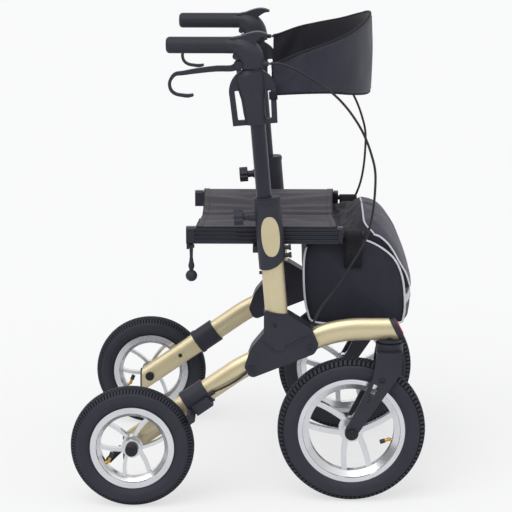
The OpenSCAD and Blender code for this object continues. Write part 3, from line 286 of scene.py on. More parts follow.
def webbing(at):
    """Flat strap with ribs across it."""
    v = at.node("ShaderNodeTexCoord", out="UV").parts()[1]
    rib = (v * RIB_TURNS).math("SINE") * 0.5 + 0.5
    return {"Base Color": rib.mix((0.006, 0.006, 0.009), (0.016, 0.016, 0.021)), "Roughness": 0.7,
            "Specular IOR Level": 0.25, "Relief": rib * 0.0003}


def piping_cloth(at):
    weave = at.noise(1800.0, detail=2)
    soil = at.noise(30.0)
    return {"Base Color": soil.mix((0.50, 0.50, 0.54), (0.68, 0.68, 0.73)), "Roughness": 0.5 + 0.2 * weave,
            "Relief": weave * 0.0001}


def sewing_thread(at):
    twist = at.noise(2400.0, detail=1)
    return {"Base Color": twist.mix((0.045, 0.043, 0.050), (0.095, 0.092, 0.105)), "Roughness": 0.6}


def reflective(at):
    bead = at.cells(900.0)
    return {"Base Color": bead.mix((0.40, 0.41, 0.45), (0.66, 0.67, 0.71)), "Roughness": 0.35 + 0.2 * bead,
            "Metallic": 0.3, "Relief": bead * 0.0002}


def red_lens(at):
    prism = at.cells(320.0)
    return {"Base Color": prism.mix((0.42, 0.008, 0.012), (0.60, 0.02, 0.025)),
            "Roughness": 0.14 + 0.1 * prism, "Coat Weight": 0.6, "Relief": prism * 0.0006}


CHAMPAGNE = finish("champagne_paint", champagne)
MOULDED = finish("moulded_black", moulded)
ANODISED = finish("anodised_black", anodised)
BLACKENED = finish("blackened_steel", blackened)
PLATED = finish("plated_steel", plated)
FRONT_RIM = finish("front_rim_alloy", cast_rim(FRONT_VALVE, FRONT_VALVE_AHEAD))
REAR_RIM = finish("rear_rim_alloy", cast_rim(REAR_VALVE, REAR_VALVE_AHEAD))
TYRE = finish("tyre_rubber", tyre_rubber)
# Tread groove floor: painted shade between the blocks
GROOVE_SHADE = finish("tread_groove_painted_shade", groove_shade_rubber)
RUBBER = finish("soft_rubber", soft_rubber)
SHEATH = finish("cable_sheath", sheath)
# Cloths: dark tone, light tone, pitch of the threads, and roughness
SEAT_CLOTH = finish("seat_nylon", woven((0.032, 0.028, 0.036), (0.064, 0.057, 0.070), 0.0016, 0.60))
BAG_CLOTH = finish("bag_nylon", woven((0.012, 0.012, 0.022), (0.025, 0.025, 0.040), 0.0012))
LID_CLOTH = finish("lid_nylon", woven((0.018, 0.017, 0.033), (0.048, 0.045, 0.072), 0.0012, 0.5))
BAND_CLOTH = finish("band_nylon", woven((0.013, 0.013, 0.024), (0.030, 0.031, 0.049), 0.0014, 0.46))
# Band lining: near black, partly as painted shade on the band's inner side
LINING_AND_SHADE = finish("band_lining_painted_shade", woven((0.003, 0.003, 0.006), (0.009, 0.009, 0.015), 0.0020))
# Gusset cloth: darker than the bag, partly as painted shade under the lid and the seat's edge
GUSSET_CLOTH_AND_SHADE = finish("gusset_nylon_painted_shade", woven((0.005, 0.005, 0.010), (0.014, 0.014, 0.023), 0.0012, 0.7))
BINDING = finish("edge_binding", webbing)
PIPING = finish("pale_piping", piping_cloth)
REFLECTIVE = finish("reflective_tape", reflective)
RED_LENS = finish("red_reflector", red_lens)
THREAD = finish("sewing_thread", sewing_thread)

FINISH_OF_SLOT = {"gold": CHAMPAGNE, "plastic": MOULDED, "dark_metal": ANODISED, "dark_steel": BLACKENED,
                  "steel": PLATED, "rim": FRONT_RIM, "tyre": TYRE, "rubber": RUBBER, "cable": SHEATH,
                  "cloth": SEAT_CLOTH, "bag_cloth": BAG_CLOTH}
for part in frame["record"]["subparts"]:
    solid = frame["nodes"][part["node"]]
    if not solid.material_slots:
        solid.data.materials.append(None)
    for holder in solid.material_slots:
        holder.material = REAR_RIM if "rear_rim" in part["node"] else FINISH_OF_SLOT[part["material_slot"]]


# Meshes from points
def piece(name, points, faces, material, uv=None):
    """A mesh object from points and faces; uv gives each point's place on its cloth, in metres."""
    mesh = bpy.data.meshes.new(name)
    mesh.from_pydata([tuple(p) for p in points], [], [tuple(f) for f in faces])
    mesh.validate()
    if uv is not None:
        layer = mesh.uv_layers.new(name="cut")
        corner = np.zeros(len(mesh.loops), np.int32)
        mesh.loops.foreach_get("vertex_index", corner)
        layer.data.foreach_set("uv", np.asarray(uv, np.float32)[corner].ravel())
    mesh.materials.append(material)
    mesh.polygons.foreach_set("use_smooth", [True] * len(mesh.polygons))
    made = bpy.data.objects.new(name, mesh)
    bpy.context.collection.objects.link(made)
    return made


WELD = 1e-6


def face_outwards(made):
    work = bmesh.new()
    work.from_mesh(made.data)
    bmesh.ops.remove_doubles(work, verts=work.verts, dist=WELD)
    bmesh.ops.recalc_face_normals(work, faces=work.faces)
    work.to_mesh(made.data)
    work.free()
    return made


def settle(made):
    """Turns a piece's modifiers into plain mesh."""
    bpy.context.view_layer.update()
    mesh = bpy.data.meshes.new_from_object(made.evaluated_get(bpy.context.evaluated_depsgraph_get()))
    old = made.data
    made.modifiers.clear()
    made.data = mesh
    bpy.data.meshes.remove(old)
    return made


def grid_faces(rows, cols, wrap=False):
    last = cols if wrap else cols - 1
    return [(r * cols + c, r * cols + (c + 1) % cols, (r + 1) * cols + (c + 1) % cols, (r + 1) * cols + c)
            for r in range(rows - 1) for c in range(last)]


def cloth_uv(grid):
    """Place of each point of a grid on its flat cloth, from the lengths along its rows and columns."""
    across = np.zeros(grid.shape[:2])
    along = np.zeros(grid.shape[:2])
    across[:, 1:] = np.cumsum(np.linalg.norm(np.diff(grid, axis=1), axis=2), axis=1)
    along[1:] = np.cumsum(np.linalg.norm(np.diff(grid, axis=0), axis=2), axis=0)
    return np.stack([across, along], axis=2).reshape(-1, 2)


def sheet_piece(name, grid, thick, material, levels=1):
    """A cloth of this thickness over a grid of points."""
    rows, cols = grid.shape[:2]
    made = piece(name, grid.reshape(-1, 3), grid_faces(rows, cols), material, cloth_uv(grid))
    wall = made.modifiers.new("wall", "SOLIDIFY")
    wall.thickness = thick
    wall.offset = 0.0
    if levels:
        soften = made.modifiers.new("soften", "SUBSURF")
        soften.levels = soften.render_levels = levels
    return settle(made)


def ringed(name, grid, material):
    """A closed cloth form over rings of points, with its ends shut."""
    rows, cols = grid.shape[:2]
    ends = [tuple(range(cols)), tuple((rows - 1) * cols + k for k in range(cols))[::-1]]
    faces = grid_faces(rows, cols, wrap=True) + ends
    return face_outwards(piece(name, grid.reshape(-1, 3), faces, material, cloth_uv(grid)))


def curve_through(points, steps):
    """Points of a smooth curve through the given ones."""
    p = [np.asarray(q, float) for q in points]
    p = [2 * p[0] - p[1], *p, 2 * p[-1] - p[-2]]
    out = []
    for a, b, c, d in zip(p, p[1:], p[2:], p[3:]):
        for t in np.arange(steps) / steps:
            out.append(0.5 * (2 * b + (c - a) * t + (2 * a - 5 * b + 4 * c - d) * t ** 2
                              + (3 * b - a - 3 * c + d) * t ** 3))
    return np.array(out + [p[-2]])


def loop_through(points, steps):
    """Points of a smooth closed curve through the given ones."""
    n = len(points)
    turn = [points[k % n] for k in range(-1, n + 2)]
    return curve_through(turn, steps)[steps:-steps - 1]


def spaced(points, count, closed=False):
    """The same curve, with its points at equal distances."""
    p = np.vstack([points, points[:1]]) if closed else np.asarray(points)
    run = np.concatenate([[0], np.cumsum(np.linalg.norm(np.diff(p, axis=0), axis=1))])
    at = np.linspace(0, run[-1], count + 1)[:-1] if closed else np.linspace(0, run[-1], count)
    return np.stack([np.interp(at, run, p[:, k]) for k in range(p.shape[1])], axis=1)


def at_y(line, y):
    """The points of a line in X and Z, set at one Y."""
    return np.stack([line[:, 0], np.full(len(line), y), line[:, 1]], axis=1)


CORD_SIDES = 10
# A direction that no cord starts along
CORD_ASIDE = (0.3, 0.2, 0.93)


def tube(name, path, radius, material, closed=False):
    """A round cord along a path, with closed ends."""
    path = np.asarray(path, float)
    n = len(path)
    ahead = np.roll(path, -1, 0) - np.roll(path, 1, 0)
    if not closed:
        ahead[0], ahead[-1] = path[1] - path[0], path[-1] - path[-2]
    ahead /= np.linalg.norm(ahead, axis=1)[:, None]
    side = np.cross(ahead[0], CORD_ASIDE)
    turn = np.arange(CORD_SIDES) * 2 * math.pi / CORD_SIDES
    rings = []
    for k in range(n):
        side = side - ahead[k] * side.dot(ahead[k])
        side /= np.linalg.norm(side)
        up = np.cross(ahead[k], side)
        rings.append(path[k] + radius * (np.cos(turn)[:, None] * side + np.sin(turn)[:, None] * up))
    faces = grid_faces(n, CORD_SIDES, wrap=True)
    around, last = range(CORD_SIDES), (n - 1) * CORD_SIDES
    if closed:
        twist = int(np.argmin(np.linalg.norm(rings[0] - rings[-1][0], axis=1)))
        faces += [(last + k, last + (k + 1) % CORD_SIDES,
                   (k + 1 + twist) % CORD_SIDES, (k + twist) % CORD_SIDES) for k in around]
    else:
        faces += [tuple(around)[::-1], tuple(last + k for k in around)]
    return face_outwards(piece(name, np.vstack(rings), faces, material))


# Node trees that make many small shapes: tread blocks round a wheel, and stitches along a line
def new_tree(name, inputs):
    """A new node tree, as its inputs, a function that adds a node, and one that ends it with a material."""
    tree = bpy.data.node_groups.new(name, "GeometryNodeTree")
    tree.interface.new_socket("Geometry", in_out="OUTPUT", socket_type="NodeSocketGeometry")
    for label, kind in inputs.items():
        tree.interface.new_socket(label, in_out="INPUT", socket_type=f"NodeSocket{kind}")
    give = tree.nodes.new("NodeGroupInput").outputs

    def add(kind, settings=None, **values):
        made = tree.nodes.new(kind)
        for key, value in (settings or {}).items():
            setattr(made, key, value)
        for key, value in values.items():
            socket = made.inputs[key.replace("_", " ")]
            if isinstance(value, bpy.types.NodeSocket):
                tree.links.new(value, socket)
            else:
                socket.default_value = value
        return made

    def end(shapes):
        real = add("GeometryNodeRealizeInstances", Geometry=shapes)
        paint = add("GeometryNodeSetMaterial", Geometry=real.outputs[0], Material=give["Material"])
        tree.links.new(paint.outputs[0], tree.nodes.new("NodeGroupOutput").inputs[0])
        return tree

    return give, add, end


def ring_of_blocks():
    """Blocks round a wheel's tread, each turned on its place."""
    give, add, end = new_tree("ring_of_blocks", {"Count": "Int", "Radius": "Float", "Size": "Vector",
                                                 "Turn": "Float", "Start": "Float", "Material": "Material"})
    ring = add("GeometryNodeMeshCircle", Vertices=give["Count"], Radius=give["Radius"])
    block = add("GeometryNodeMeshCube", Size=give["Size"])
    place = add("GeometryNodeInputPosition")
    aim = add("FunctionNodeAlignRotationToVector", {"axis": "X"}, Vector=place.outputs[0])
    turn = add("ShaderNodeCombineXYZ", X=give["Turn"])
    lean = add("FunctionNodeRotateRotation", {"rotation_space": "LOCAL"}, Rotation=aim.outputs[0],
               Rotate_By=turn.outputs[0])
    many = add("GeometryNodeInstanceOnPoints", Points=ring.outputs[0], Instance=block.outputs[0],
               Rotation=lean.outputs[0])
    start = add("ShaderNodeCombineXYZ", Z=give["Start"])
    spun = add("GeometryNodeTransform", Geometry=many.outputs[0], Rotation=start.outputs[0])
    return end(spun.outputs[0])


def row_of_stitches():
    """Stitches at even distances along a line, each a bead of unit width drawn out to its size."""
    give, add, end = new_tree("row_of_stitches", {"Line": "Geometry", "Gap": "Float", "Size": "Vector",
                                                  "Material": "Material"})
    thread = add("GeometryNodeMeshToCurve", Mesh=give["Line"])
    spots = add("GeometryNodeCurveToPoints", {"mode": "LENGTH"}, Curve=thread.outputs["Curve"],
                Length=give["Gap"])
    bead = add("GeometryNodeMeshIcoSphere", Radius=0.5, Subdivisions=1)
    aim = add("FunctionNodeAlignRotationToVector", {"axis": "X"}, Vector=spots.outputs["Tangent"])
    many = add("GeometryNodeInstanceOnPoints", Points=spots.outputs["Points"], Instance=bead.outputs["Mesh"],
               Rotation=aim.outputs["Rotation"], Scale=give["Size"])
    return end(many.outputs[0])


def grown(name, tree, line=None, **inputs):
    """The plain mesh that a node tree makes with these inputs, along a line of points where it takes one."""
    mesh = bpy.data.meshes.new(name)
    if line is not None:
        mesh.from_pydata([tuple(p) for p in line], [(k, k + 1) for k in range(len(line) - 1)], [])
    host = bpy.data.objects.new(name, mesh)
    bpy.context.collection.objects.link(host)
    maker = host.modifiers.new("make", "NODES")
    maker.node_group = tree
    for item in tree.interface.items_tree:
        if item.in_out == "INPUT" and item.name in inputs:
            maker[item.identifier] = inputs[item.name]
    return settle(host)


BLOCK_TREE = ring_of_blocks()
STITCH_TREE = row_of_stitches()
STITCH_GAP, STITCH = 0.0042, (0.0030, 0.0008, 0.0008)


def stitches(name, line):
    return grown(name, STITCH_TREE, line, Gap=STITCH_GAP, Size=STITCH, Material=THREAD)


# Brake cables, on the route they have in the solids: from the gland to the bracket, and on to the brake
CABLE_R = 0.0025
CABLE_RISE = [(0.0412, 0.251, 0.9084), (0.0628, 0.252, 0.9084), (0.1028, 0.254, 0.8924),
              (0.1718, 0.255, 0.8464), (0.2178, 0.256, 0.7904), (0.2448, 0.256, 0.7304),
              (0.2544, 0.256, 0.6704), (0.2404, 0.255, 0.5664), (0.1864, 0.255, 0.4684),
              (0.1484, 0.254, 0.4134), (0.1306, 0.254, 0.3781)]
CABLE_LOW = [(-0.0037, 0.260, 0.2761), (-0.0251, 0.261, 0.2597), (-0.0497, 0.263, 0.2461),
             (-0.0697, 0.264, 0.2370)]
RISE_STEPS, LOW_STEPS = 8, 6
for side, s in SIDES.items():
    flip = np.array([1, s, 1])
    upper = tube(f"{side}_brake_cable_upper", curve_through(CABLE_RISE, RISE_STEPS) * flip, CABLE_R, SHEATH)
    lower = tube(f"{side}_brake_cable_lower", curve_through(CABLE_LOW, LOW_STEPS) * flip, CABLE_R, SHEATH)
    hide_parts(f"{side}_brake_cable")
    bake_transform(upper)
    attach(lower, f"{side}_frame")


# Air tyres: a turned casing with sidewall lines, and rows of tread blocks
TREAD_DEPTH, BLOCK_SINK = 0.0024, 0.0008
TYRE_STEPS = 128
# Places round the section, in degrees: bead, crown, raised lines, and where the tread and its painted groove
# shade start
BEAD_TURN, CROWN_TURN, OUTLINE_STEP = -52, 90, 6
LINE_TURNS, LINE_RISE = (-10, 20), 0.0007
TREAD_TURN, TREAD_RAMP, GROOVE_SHADE_TURN = 30, 8, 33
BEAD_IN, BEAD_SINK, BEAD_LIP = 0.003, 0.004, 0.001


def casing_profile(radius, width, rim_r):
    """Half of the tyre's outline from rim to tread, as distances across and out from the wheel's centre."""
    section = width / 2
    mid = radius - section
    out = []
    for degrees in range(BEAD_TURN, CROWN_TURN + 1, OUTLINE_STEP):
        a = math.radians(degrees)
        line = LINE_RISE if degrees in LINE_TURNS else 0.0
        tread = TREAD_DEPTH * min(1.0, max(0.0, (degrees - TREAD_TURN) / TREAD_RAMP))
        r = section - tread + line
        out.append((r * math.cos(a), mid + r * math.sin(a)))
    return [(out[0][0] - BEAD_IN, rim_r - BEAD_SINK), (out[0][0], rim_r + BEAD_LIP)] + out


def tyre(name, centre, radius, width, rim_r, count, rows):
    """The outline turned about the axle, joined with rows of this count of blocks."""
    half = casing_profile(radius, width, rim_r)
    outline = half + [(-y, r) for y, r in half[-2::-1]]
    turns = np.arange(TYRE_STEPS) * 2 * math.pi / TYRE_STEPS
    points = [(r * math.cos(a), y, r * math.sin(a)) for a in turns for y, r in outline]
    n = len(outline)
    starts = [(k * n, (k + 1) % TYRE_STEPS * n) for k in range(TYRE_STEPS)]
    faces = [(p + i, p + i + 1, q + i + 1, q + i) for p, q in starts for i in range(n - 1)]
    faces += [(p, q, q + n - 1, p + n - 1) for p, q in starts]
    casing = face_outwards(piece(name, points, faces, TYRE))
    section = width / 2
    mid = radius - section
    # The casing's tread zone, seen between the blocks, takes the dark groove material as painted shade
    casing.data.materials.append(GROOVE_SHADE)
    for face in casing.data.polygons:
        across, out = abs(face.center.y), math.hypot(face.center.x, face.center.z) - mid
        face.material_index = int(math.atan2(out, across) > math.radians(GROOVE_SHADE_TURN))
    tall = TREAD_DEPTH + BLOCK_SINK
    parts = [casing]
    for k, (shift, at, turn, wide, long) in enumerate(rows):
        a = math.radians(at)
        pitch = 2 * math.pi * (mid + section * math.sin(a)) / count
        row = grown(f"{name}_row_{k}", BLOCK_TREE, Count=count, Radius=radius, Turn=turn, Material=TYRE,
                    Size=(tall, long * pitch, wide), Start=shift * 2 * math.pi / count)
        row.data.transform(Matrix.Rotation(math.pi / 2, 4, "X"))
        for v in row.data.vertices:
            spoke = Vector((v.co.x, 0, v.co.z))
            rise = section - tall / 2 + spoke.length - radius
            lean = a - v.co.y / section
            v.co = spoke.normalized() * (mid + rise * math.sin(lean)) + Vector((0, rise * math.cos(lean), 0))
        parts.append(row)
    with bpy.context.temp_override(active_object=casing, selected_editable_objects=parts):
        bpy.ops.object.join()
    casing.data.transform(Matrix.Translation(centre))
    return casing


# Rows of tread blocks: shift as a share of the pitch, place in degrees, lean, width, and length as a share
FRONT_ROWS = [(0.0, 90, 0.25, 0.0060, 0.74), (0.5, 74, -0.25, 0.0060, 0.74), (0.5, 106, 0.25, 0.0060, 0.74),
              (0.0, 50, 0.10, 0.0128, 0.62), (0.0, 130, -0.10, 0.0128, 0.62)]
REAR_ROWS = [(0.0, 90, 0.0, 0.0075, 0.80), (0.5, 70, 0.2, 0.0065, 0.72), (0.5, 110, -0.2, 0.0065, 0.72),
             (0.0, 46, 0.05, 0.0118, 0.62), (0.0, 134, -0.05, 0.0118, 0.62)]
# Wheels: axle, radius and width of the tyre, radius of the rim, blocks in a row, and rows
WHEELS = {"front": (FRONT_AXLE, 0.1525, 0.050, 0.113, 98, FRONT_ROWS),
          "rear": (REAR_AXLE, 0.127, 0.046, 0.086, 112, REAR_ROWS)}
for side, s in SIDES.items():
    for end, (axle, *sizes) in WHEELS.items():
        made = tyre(f"{side}_{end}_air_tyre", Vector((axle.x, s * axle.y, axle.z)), *sizes)
        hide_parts(f"{side}_{end}_tyre")
        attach(made, f"{side}_{end}_wheel")


def on_seat(made):
    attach(made, "right_seat")
    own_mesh(made)


# Seat: nylon slung between the rails, creased along the middle where it folds
SEAT_LIFT, SEAT_SAG, SAG_POWER = 0.0018, 0.018, 2.5
SEAT_THICK, SEAT_ROWS, SEAT_COLS = 0.0024, 97, 73
SEAT_DRAW, CREASE_RISE, CREASE_FADE = 0.004, 4, 0.6
# Creases: the X and Y of both ends, the width, and the height
SEAT_CREASES = [
    (-0.125, 0.000, 0.197, 0.006, 0.006, -0.0050), (-0.125, 0.018, 0.197, 0.024, 0.011, 0.0040),
    (-0.125, -0.020, 0.197, -0.014, 0.013, 0.0034), (-0.120, -0.060, 0.080, -0.026, 0.012, 0.0046),
    (-0.120, -0.128, 0.060, -0.060, 0.014, 0.0050), (-0.110, -0.094, 0.030, -0.048, 0.009, -0.0030),
    (0.190, -0.070, -0.010, -0.034, 0.012, 0.0046), (0.190, -0.140, 0.020, -0.084, 0.015, 0.0046),
    (0.190, -0.105, 0.050, -0.060, 0.009, -0.0030), (-0.120, 0.070, 0.090, 0.040, 0.013, 0.0042),
    (-0.118, 0.132, 0.050, 0.080, 0.016, 0.0046), (0.190, 0.066, 0.010, 0.050, 0.013, 0.0040),
    (0.190, 0.138, 0.030, 0.090, 0.016, 0.0042), (-0.09, -0.162, 0.110, -0.138, 0.014, 0.0034),
    (0.17, 0.166, -0.03, 0.140, 0.016, 0.0034)]


def crease(x, y, x0, y0, x1, y1, wide, high):
    """Height of one crease from a point to another, that fades out at its ends."""
    dx, dy = x1 - x0, y1 - y0
    run = math.hypot(dx, dy)
    along = ((x - x0) * dx + (y - y0) * dy) / run ** 2
    off = ((y - y0) * dx - (x - x0) * dy) / run
    return high * np.exp(-(off / wide) ** 2) * np.clip(1 - (2 * along - 1) ** 2, 0, 1) ** CREASE_FADE


def seat_height(x, y):
    share = np.clip(np.abs(y) / (RAIL_Y - RAIL_HALF), 0, 1)
    z = RAIL_TOP + SEAT_LIFT - SEAT_SAG * (1 - share ** 2) ** SAG_POWER
    loose = np.clip((1 - share) * CREASE_RISE, 0, 1)
    for line in SEAT_CREASES:
        z = z + loose * crease(x, y, *line)
    return z


def seat_strip(x0, x1, cols, lift=0.0):
    """Points from side to side of the seat, whose free edges are drawn in between the rails."""
    edge = RAIL_Y + RAIL_HALF
    x, y = np.meshgrid(np.linspace(x0, x1, cols), np.linspace(-edge, edge, SEAT_ROWS))
    inward = SEAT_DRAW * (1 - (y / RAIL_Y) ** 2)
    x = x - inward * ((x - SEAT_BACK) / (SEAT_FRONT - SEAT_BACK) * 2 - 1)
    return np.stack([x, y, seat_height(x, y) + lift], axis=2)


def seat_line(x, lift):
    return seat_strip(x, x, 1, lift)[:, 0]


seat = sheet_piece("seat_sling", seat_strip(SEAT_BACK, SEAT_FRONT, SEAT_COLS), SEAT_THICK, SEAT_CLOTH)
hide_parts("seat_cloth")
on_seat(seat)
HEM, HEM_COLS, HEM_LIFT, HEM_THICK = 0.012, 5, 0.0014, 0.0016
hems = [sheet_piece(f"seat_hem_{end}", seat_strip(x, x + HEM, HEM_COLS, HEM_LIFT), HEM_THICK, SEAT_CLOTH)
        for end, x in (("back", SEAT_BACK), ("front", SEAT_FRONT - HEM))]
for hem in hems:
    on_seat(hem)

SEAT_BIND_LIFT, SEAT_BIND_R = 0.0006, 0.0017
SEAT_SEW_IN, SEAT_SEW_LIFT, SEAT_SEW_ENDS = 0.0025, 0.0024, 4
for name, x in (("back", SEAT_BACK), ("front", SEAT_FRONT)):
    on_seat(tube(f"seat_binding_{name}", seat_line(x, SEAT_BIND_LIFT), SEAT_BIND_R, BINDING))
for name, x in (("back_outer", SEAT_BACK + SEAT_SEW_IN), ("back_inner", SEAT_BACK + HEM - SEAT_SEW_IN),
                ("front_outer", SEAT_FRONT - SEAT_SEW_IN), ("front_inner", SEAT_FRONT - HEM + SEAT_SEW_IN)):
    line = seat_line(x, SEAT_SEW_LIFT)[SEAT_SEW_ENDS:-SEAT_SEW_ENDS]
    on_seat(stitches(f"seat_stitches_{name}", line))


# Bag: side panels edged with piping, a gusset between them, and a crowned lid with a flap in front
PANEL = [(0.1288, 0.534), (0.1828, 0.537), (0.2398, 0.536), (0.2918, 0.505), (0.3148, 0.463),
         (0.3218, 0.410), (0.3198, 0.375), (0.3078, 0.361), (0.2228, 0.359), (0.1378, 0.362),
         (0.1208, 0.385), (0.1138, 0.430), (0.1128, 0.489), (0.1178, 0.520)]
PANEL_Y, PANEL_STEPS, PANEL_COUNT = 0.176, 12, 120
BAG_RINGS, CAP_RINGS, CAP_CORE = 33, 8, 0.004
BAG_SWELL, FRONT_SWELL, PANEL_BULGE = 0.022, 0.014, 0.010
RIPPLE, RIPPLE_ACROSS, RIPPLE_WIDE, RIPPLE_FINE = 0.0035, 0.4, 14, 31
panel_line = spaced(loop_through(PANEL, PANEL_STEPS), PANEL_COUNT, closed=True)
panel_mid = panel_line.mean(0)


def bag_body():
    """Rings from side to side, swollen in the middle and shut by bulging panels, with the cloth uneven."""
    rows = []
    for t in np.linspace(-1, 1, BAG_RINGS):
        ring = panel_mid + (panel_line - panel_mid) * (1 + BAG_SWELL * (1 - t ** 4))
        ahead = np.clip((ring[:, 0] - panel_mid[0]) / (panel_line[:, 0].max() - panel_mid[0]), 0, 1)
        ring[:, 0] += FRONT_SWELL * ahead ** 2 * (1 - abs(t) ** 3)
        rows.append(at_y(ring, t * PANEL_Y))
    for s in (-1, 1):
        caps = []
        for k in range(1, CAP_RINGS + 1):
            f = 1 - k / CAP_RINGS
            ring = panel_mid + (panel_line - panel_mid) * max(f, CAP_CORE)
            caps.append(at_y(ring, s * (PANEL_Y + PANEL_BULGE * (1 - f ** 2))))
        rows = caps[::-1] + rows if s < 0 else rows + caps
    grid = np.array(rows)
    for p in grid.reshape(-1, 3):
        q = Vector(p)
        away = Vector((p[0] - panel_mid[0], p[1] * RIPPLE_ACROSS, p[2] - panel_mid[1])).normalized()
        p += np.array(away) * RIPPLE * (noise.noise(q * RIPPLE_WIDE) + 0.5 * noise.noise(q * RIPPLE_FINE))
    return ringed("bag_body", grid, BAG_CLOTH)


# Lid: lines from rear to front, as X and Z, at its sides and in its middle, and a seam along the middle
LID_SIDE = [(0.2378, 0.548), (0.2688, 0.543), (0.2930, 0.517), (0.3108, 0.488), (0.3240, 0.464),
            (0.3322, 0.438)]
LID_MID = [(0.2368, 0.581), (0.2630, 0.573), (0.2868, 0.553), (0.3060, 0.523), (0.3200, 0.489),
           (0.3305, 0.461), (0.3372, 0.439)]
LID_STEPS, LID_COUNT, LID_COLS = 10, 41, 57
LID_Y, LID_THICK, LID_CROWN = 0.171, 0.005, 0.75
LID_CORNER, LID_CUT = 0.72, 0.13
SEAM_WIDE, SEAM_DEEP = 0.028, 0.0050
# Wrinkles: their height and how close they are, with finer ones among them
LID_WRINKLE, GUSSET_WRINKLE, WRINKLE_FINE = (0.003, 17), (0.0015, 30), 2.3
lid_side = spaced(curve_through(LID_SIDE, LID_STEPS), LID_COUNT)
lid_mid = spaced(curve_through(LID_MID, LID_STEPS), LID_COUNT)
lid_shares = np.linspace(-1, 1, LID_COLS)


def lid_at(u):
    """The lid's line from rear to front at a share u of its half width. Its rear corners are round."""
    crown = (1 - u * u) ** LID_CROWN
    line = lid_side * (1 - crown) + lid_mid * crown
    start = LID_CUT * max(0.0, (abs(u) - LID_CORNER) / (1 - LID_CORNER)) ** 2
    old, new = np.linspace(0, 1, len(line)), np.linspace(start, 1, len(line))
    return at_y(np.stack([np.interp(new, old, line[:, k]) for k in range(2)], axis=1), u * LID_Y)


def wrinkled(grid, size, scale):
    out = grid.copy()
    for p in out.reshape(-1, 3):
        q = Vector(p) * scale
        p[2] += size * (noise.noise(q) + 0.5 * noise.noise(q * WRINKLE_FINE))
    return out


# Gusset behind the lid: its foot on the bag, its sag, and its folds, which run across and along the cloth
REAR_FOOT, GUSSET_Y = (0.1700, 0.5400), 0.1795
GUSSET_ROWS, GUSSET_THICK, GUSSET_SAG = 21, 0.003, 0.014
GUSSET_FOLD, GUSSET_SHARP, GUSSET_SEED = 0.0060, 2.4, 0.3
GUSSET_ACROSS, GUSSET_ALONG = (2.2, 1.6), (-1.9, 4.4)


def rear_gusset():
    """Dark cloth, partly painted shade, from the bag's top under the seat's edge to the lid's rear edge, in
    folds.
    """
    rows = []
    for u in lid_shares:
        top = lid_at(u)[0]
        foot = np.array([REAR_FOOT[0], u * GUSSET_Y, REAR_FOOT[1]])
        line = []
        for t in np.linspace(0, 1, GUSSET_ROWS):
            p = foot * (1 - t) + top * t
            p[2] -= GUSSET_SAG * math.sin(math.pi * t) * (1 - u * u)
            spot = [slope[0] * u + slope[1] * t for slope in (GUSSET_ACROSS, GUSSET_ALONG)]
            fold = 1 - GUSSET_SHARP * abs(noise.noise(Vector((*spot, GUSSET_SEED))))
            p[2] += GUSSET_FOLD * fold * math.sin(math.pi * t)
            line.append(p)
        rows.append(line)
    return wrinkled(np.array(rows), *GUSSET_WRINKLE)


lid_grid = wrinkled(np.array([lid_at(u) for u in lid_shares]), *LID_WRINKLE)
for u, line in zip(lid_shares, lid_grid):
    line[:, 2] -= SEAM_DEEP * math.exp(-(u / SEAM_WIDE) ** 2)
gusset_grid = rear_gusset()
SKIRT_IN, SKIRT_Y, SKIRT_ROWS = 0.010, PANEL_Y - 0.004, 5


def lid_skirt(s):
    """Dark cloth, partly painted shade, between the lid's side edge and the side panel."""
    edge = np.vstack([gusset_grid[0 if s < 0 else -1][:-1], lid_at(s)])
    inner = []
    for p in edge:
        k = int(np.argmin(np.linalg.norm(panel_line - p[[0, 2]], axis=1)))
        inner.append([panel_line[k][0] - SKIRT_IN, s * SKIRT_Y, panel_line[k][1] - SKIRT_IN])
    inner = np.array(inner)
    return np.array([edge * (1 - t) + inner * t for t in np.linspace(0, 1, SKIRT_ROWS)])


bag = bag_body()
lid = face_outwards(sheet_piece("bag_lid", lid_grid, LID_THICK, LID_CLOTH))
gusset = face_outwards(sheet_piece("bag_rear_gusset", gusset_grid, GUSSET_THICK, GUSSET_CLOTH_AND_SHADE))
skirts = [face_outwards(sheet_piece(f"bag_lid_skirt_{side}", lid_skirt(s), GUSSET_THICK, GUSSET_CLOTH_AND_SHADE))
          for side, s in SIDES.items()]

# Piping round the panels, which goes out of sight under the seat, and round the lid
PIPE_R, PIPE_OUT, PIPE_STOP_X, PIPE_STOP_Z = 0.0022, 0.001, 0.234, 0.524
pipes = []
for side, s in SIDES.items():
    ring = at_y(panel_line, s * (PANEL_Y + PIPE_OUT))
    hidden = (ring[:, 2] > PIPE_STOP_Z) & (ring[:, 0] < PIPE_STOP_X)
    first = int(np.flatnonzero(hidden & ~np.roll(hidden, -1))[0]) + 1
    shown = np.roll(ring, -first, axis=0)[:int((~hidden).sum())]
    pipes.append(tube(f"bag_panel_piping_{side}", shown, PIPE_R, PIPING))
lid_rim = np.vstack([lid_grid[0][::-1], lid_grid[1:-1, 0], lid_grid[-1], lid_grid[-2:0:-1, -1]])
pipes.append(tube("bag_lid_piping", lid_rim, PIPE_R, PIPING, closed=True))

# Straps: round the hanger rod, with both ends down the side panel, as Y and Z
STRAP_R, STRAP_THICK, STRAP_COLS = 0.0064, 0.0016, 5
STRAP_TURNS = np.radians(np.arange(100, -81, -15))
STRAP_BACK = [(0.1895, 0.4810), (0.1893, 0.5150), (0.1935, 0.5330), (0.2010, 0.5440)]
STRAP_DOWN = [(0.1895, 0.5440), (0.1875, 0.5320), (0.1870, 0.5150), (0.1872, 0.4980), (0.1875, 0.4800)]


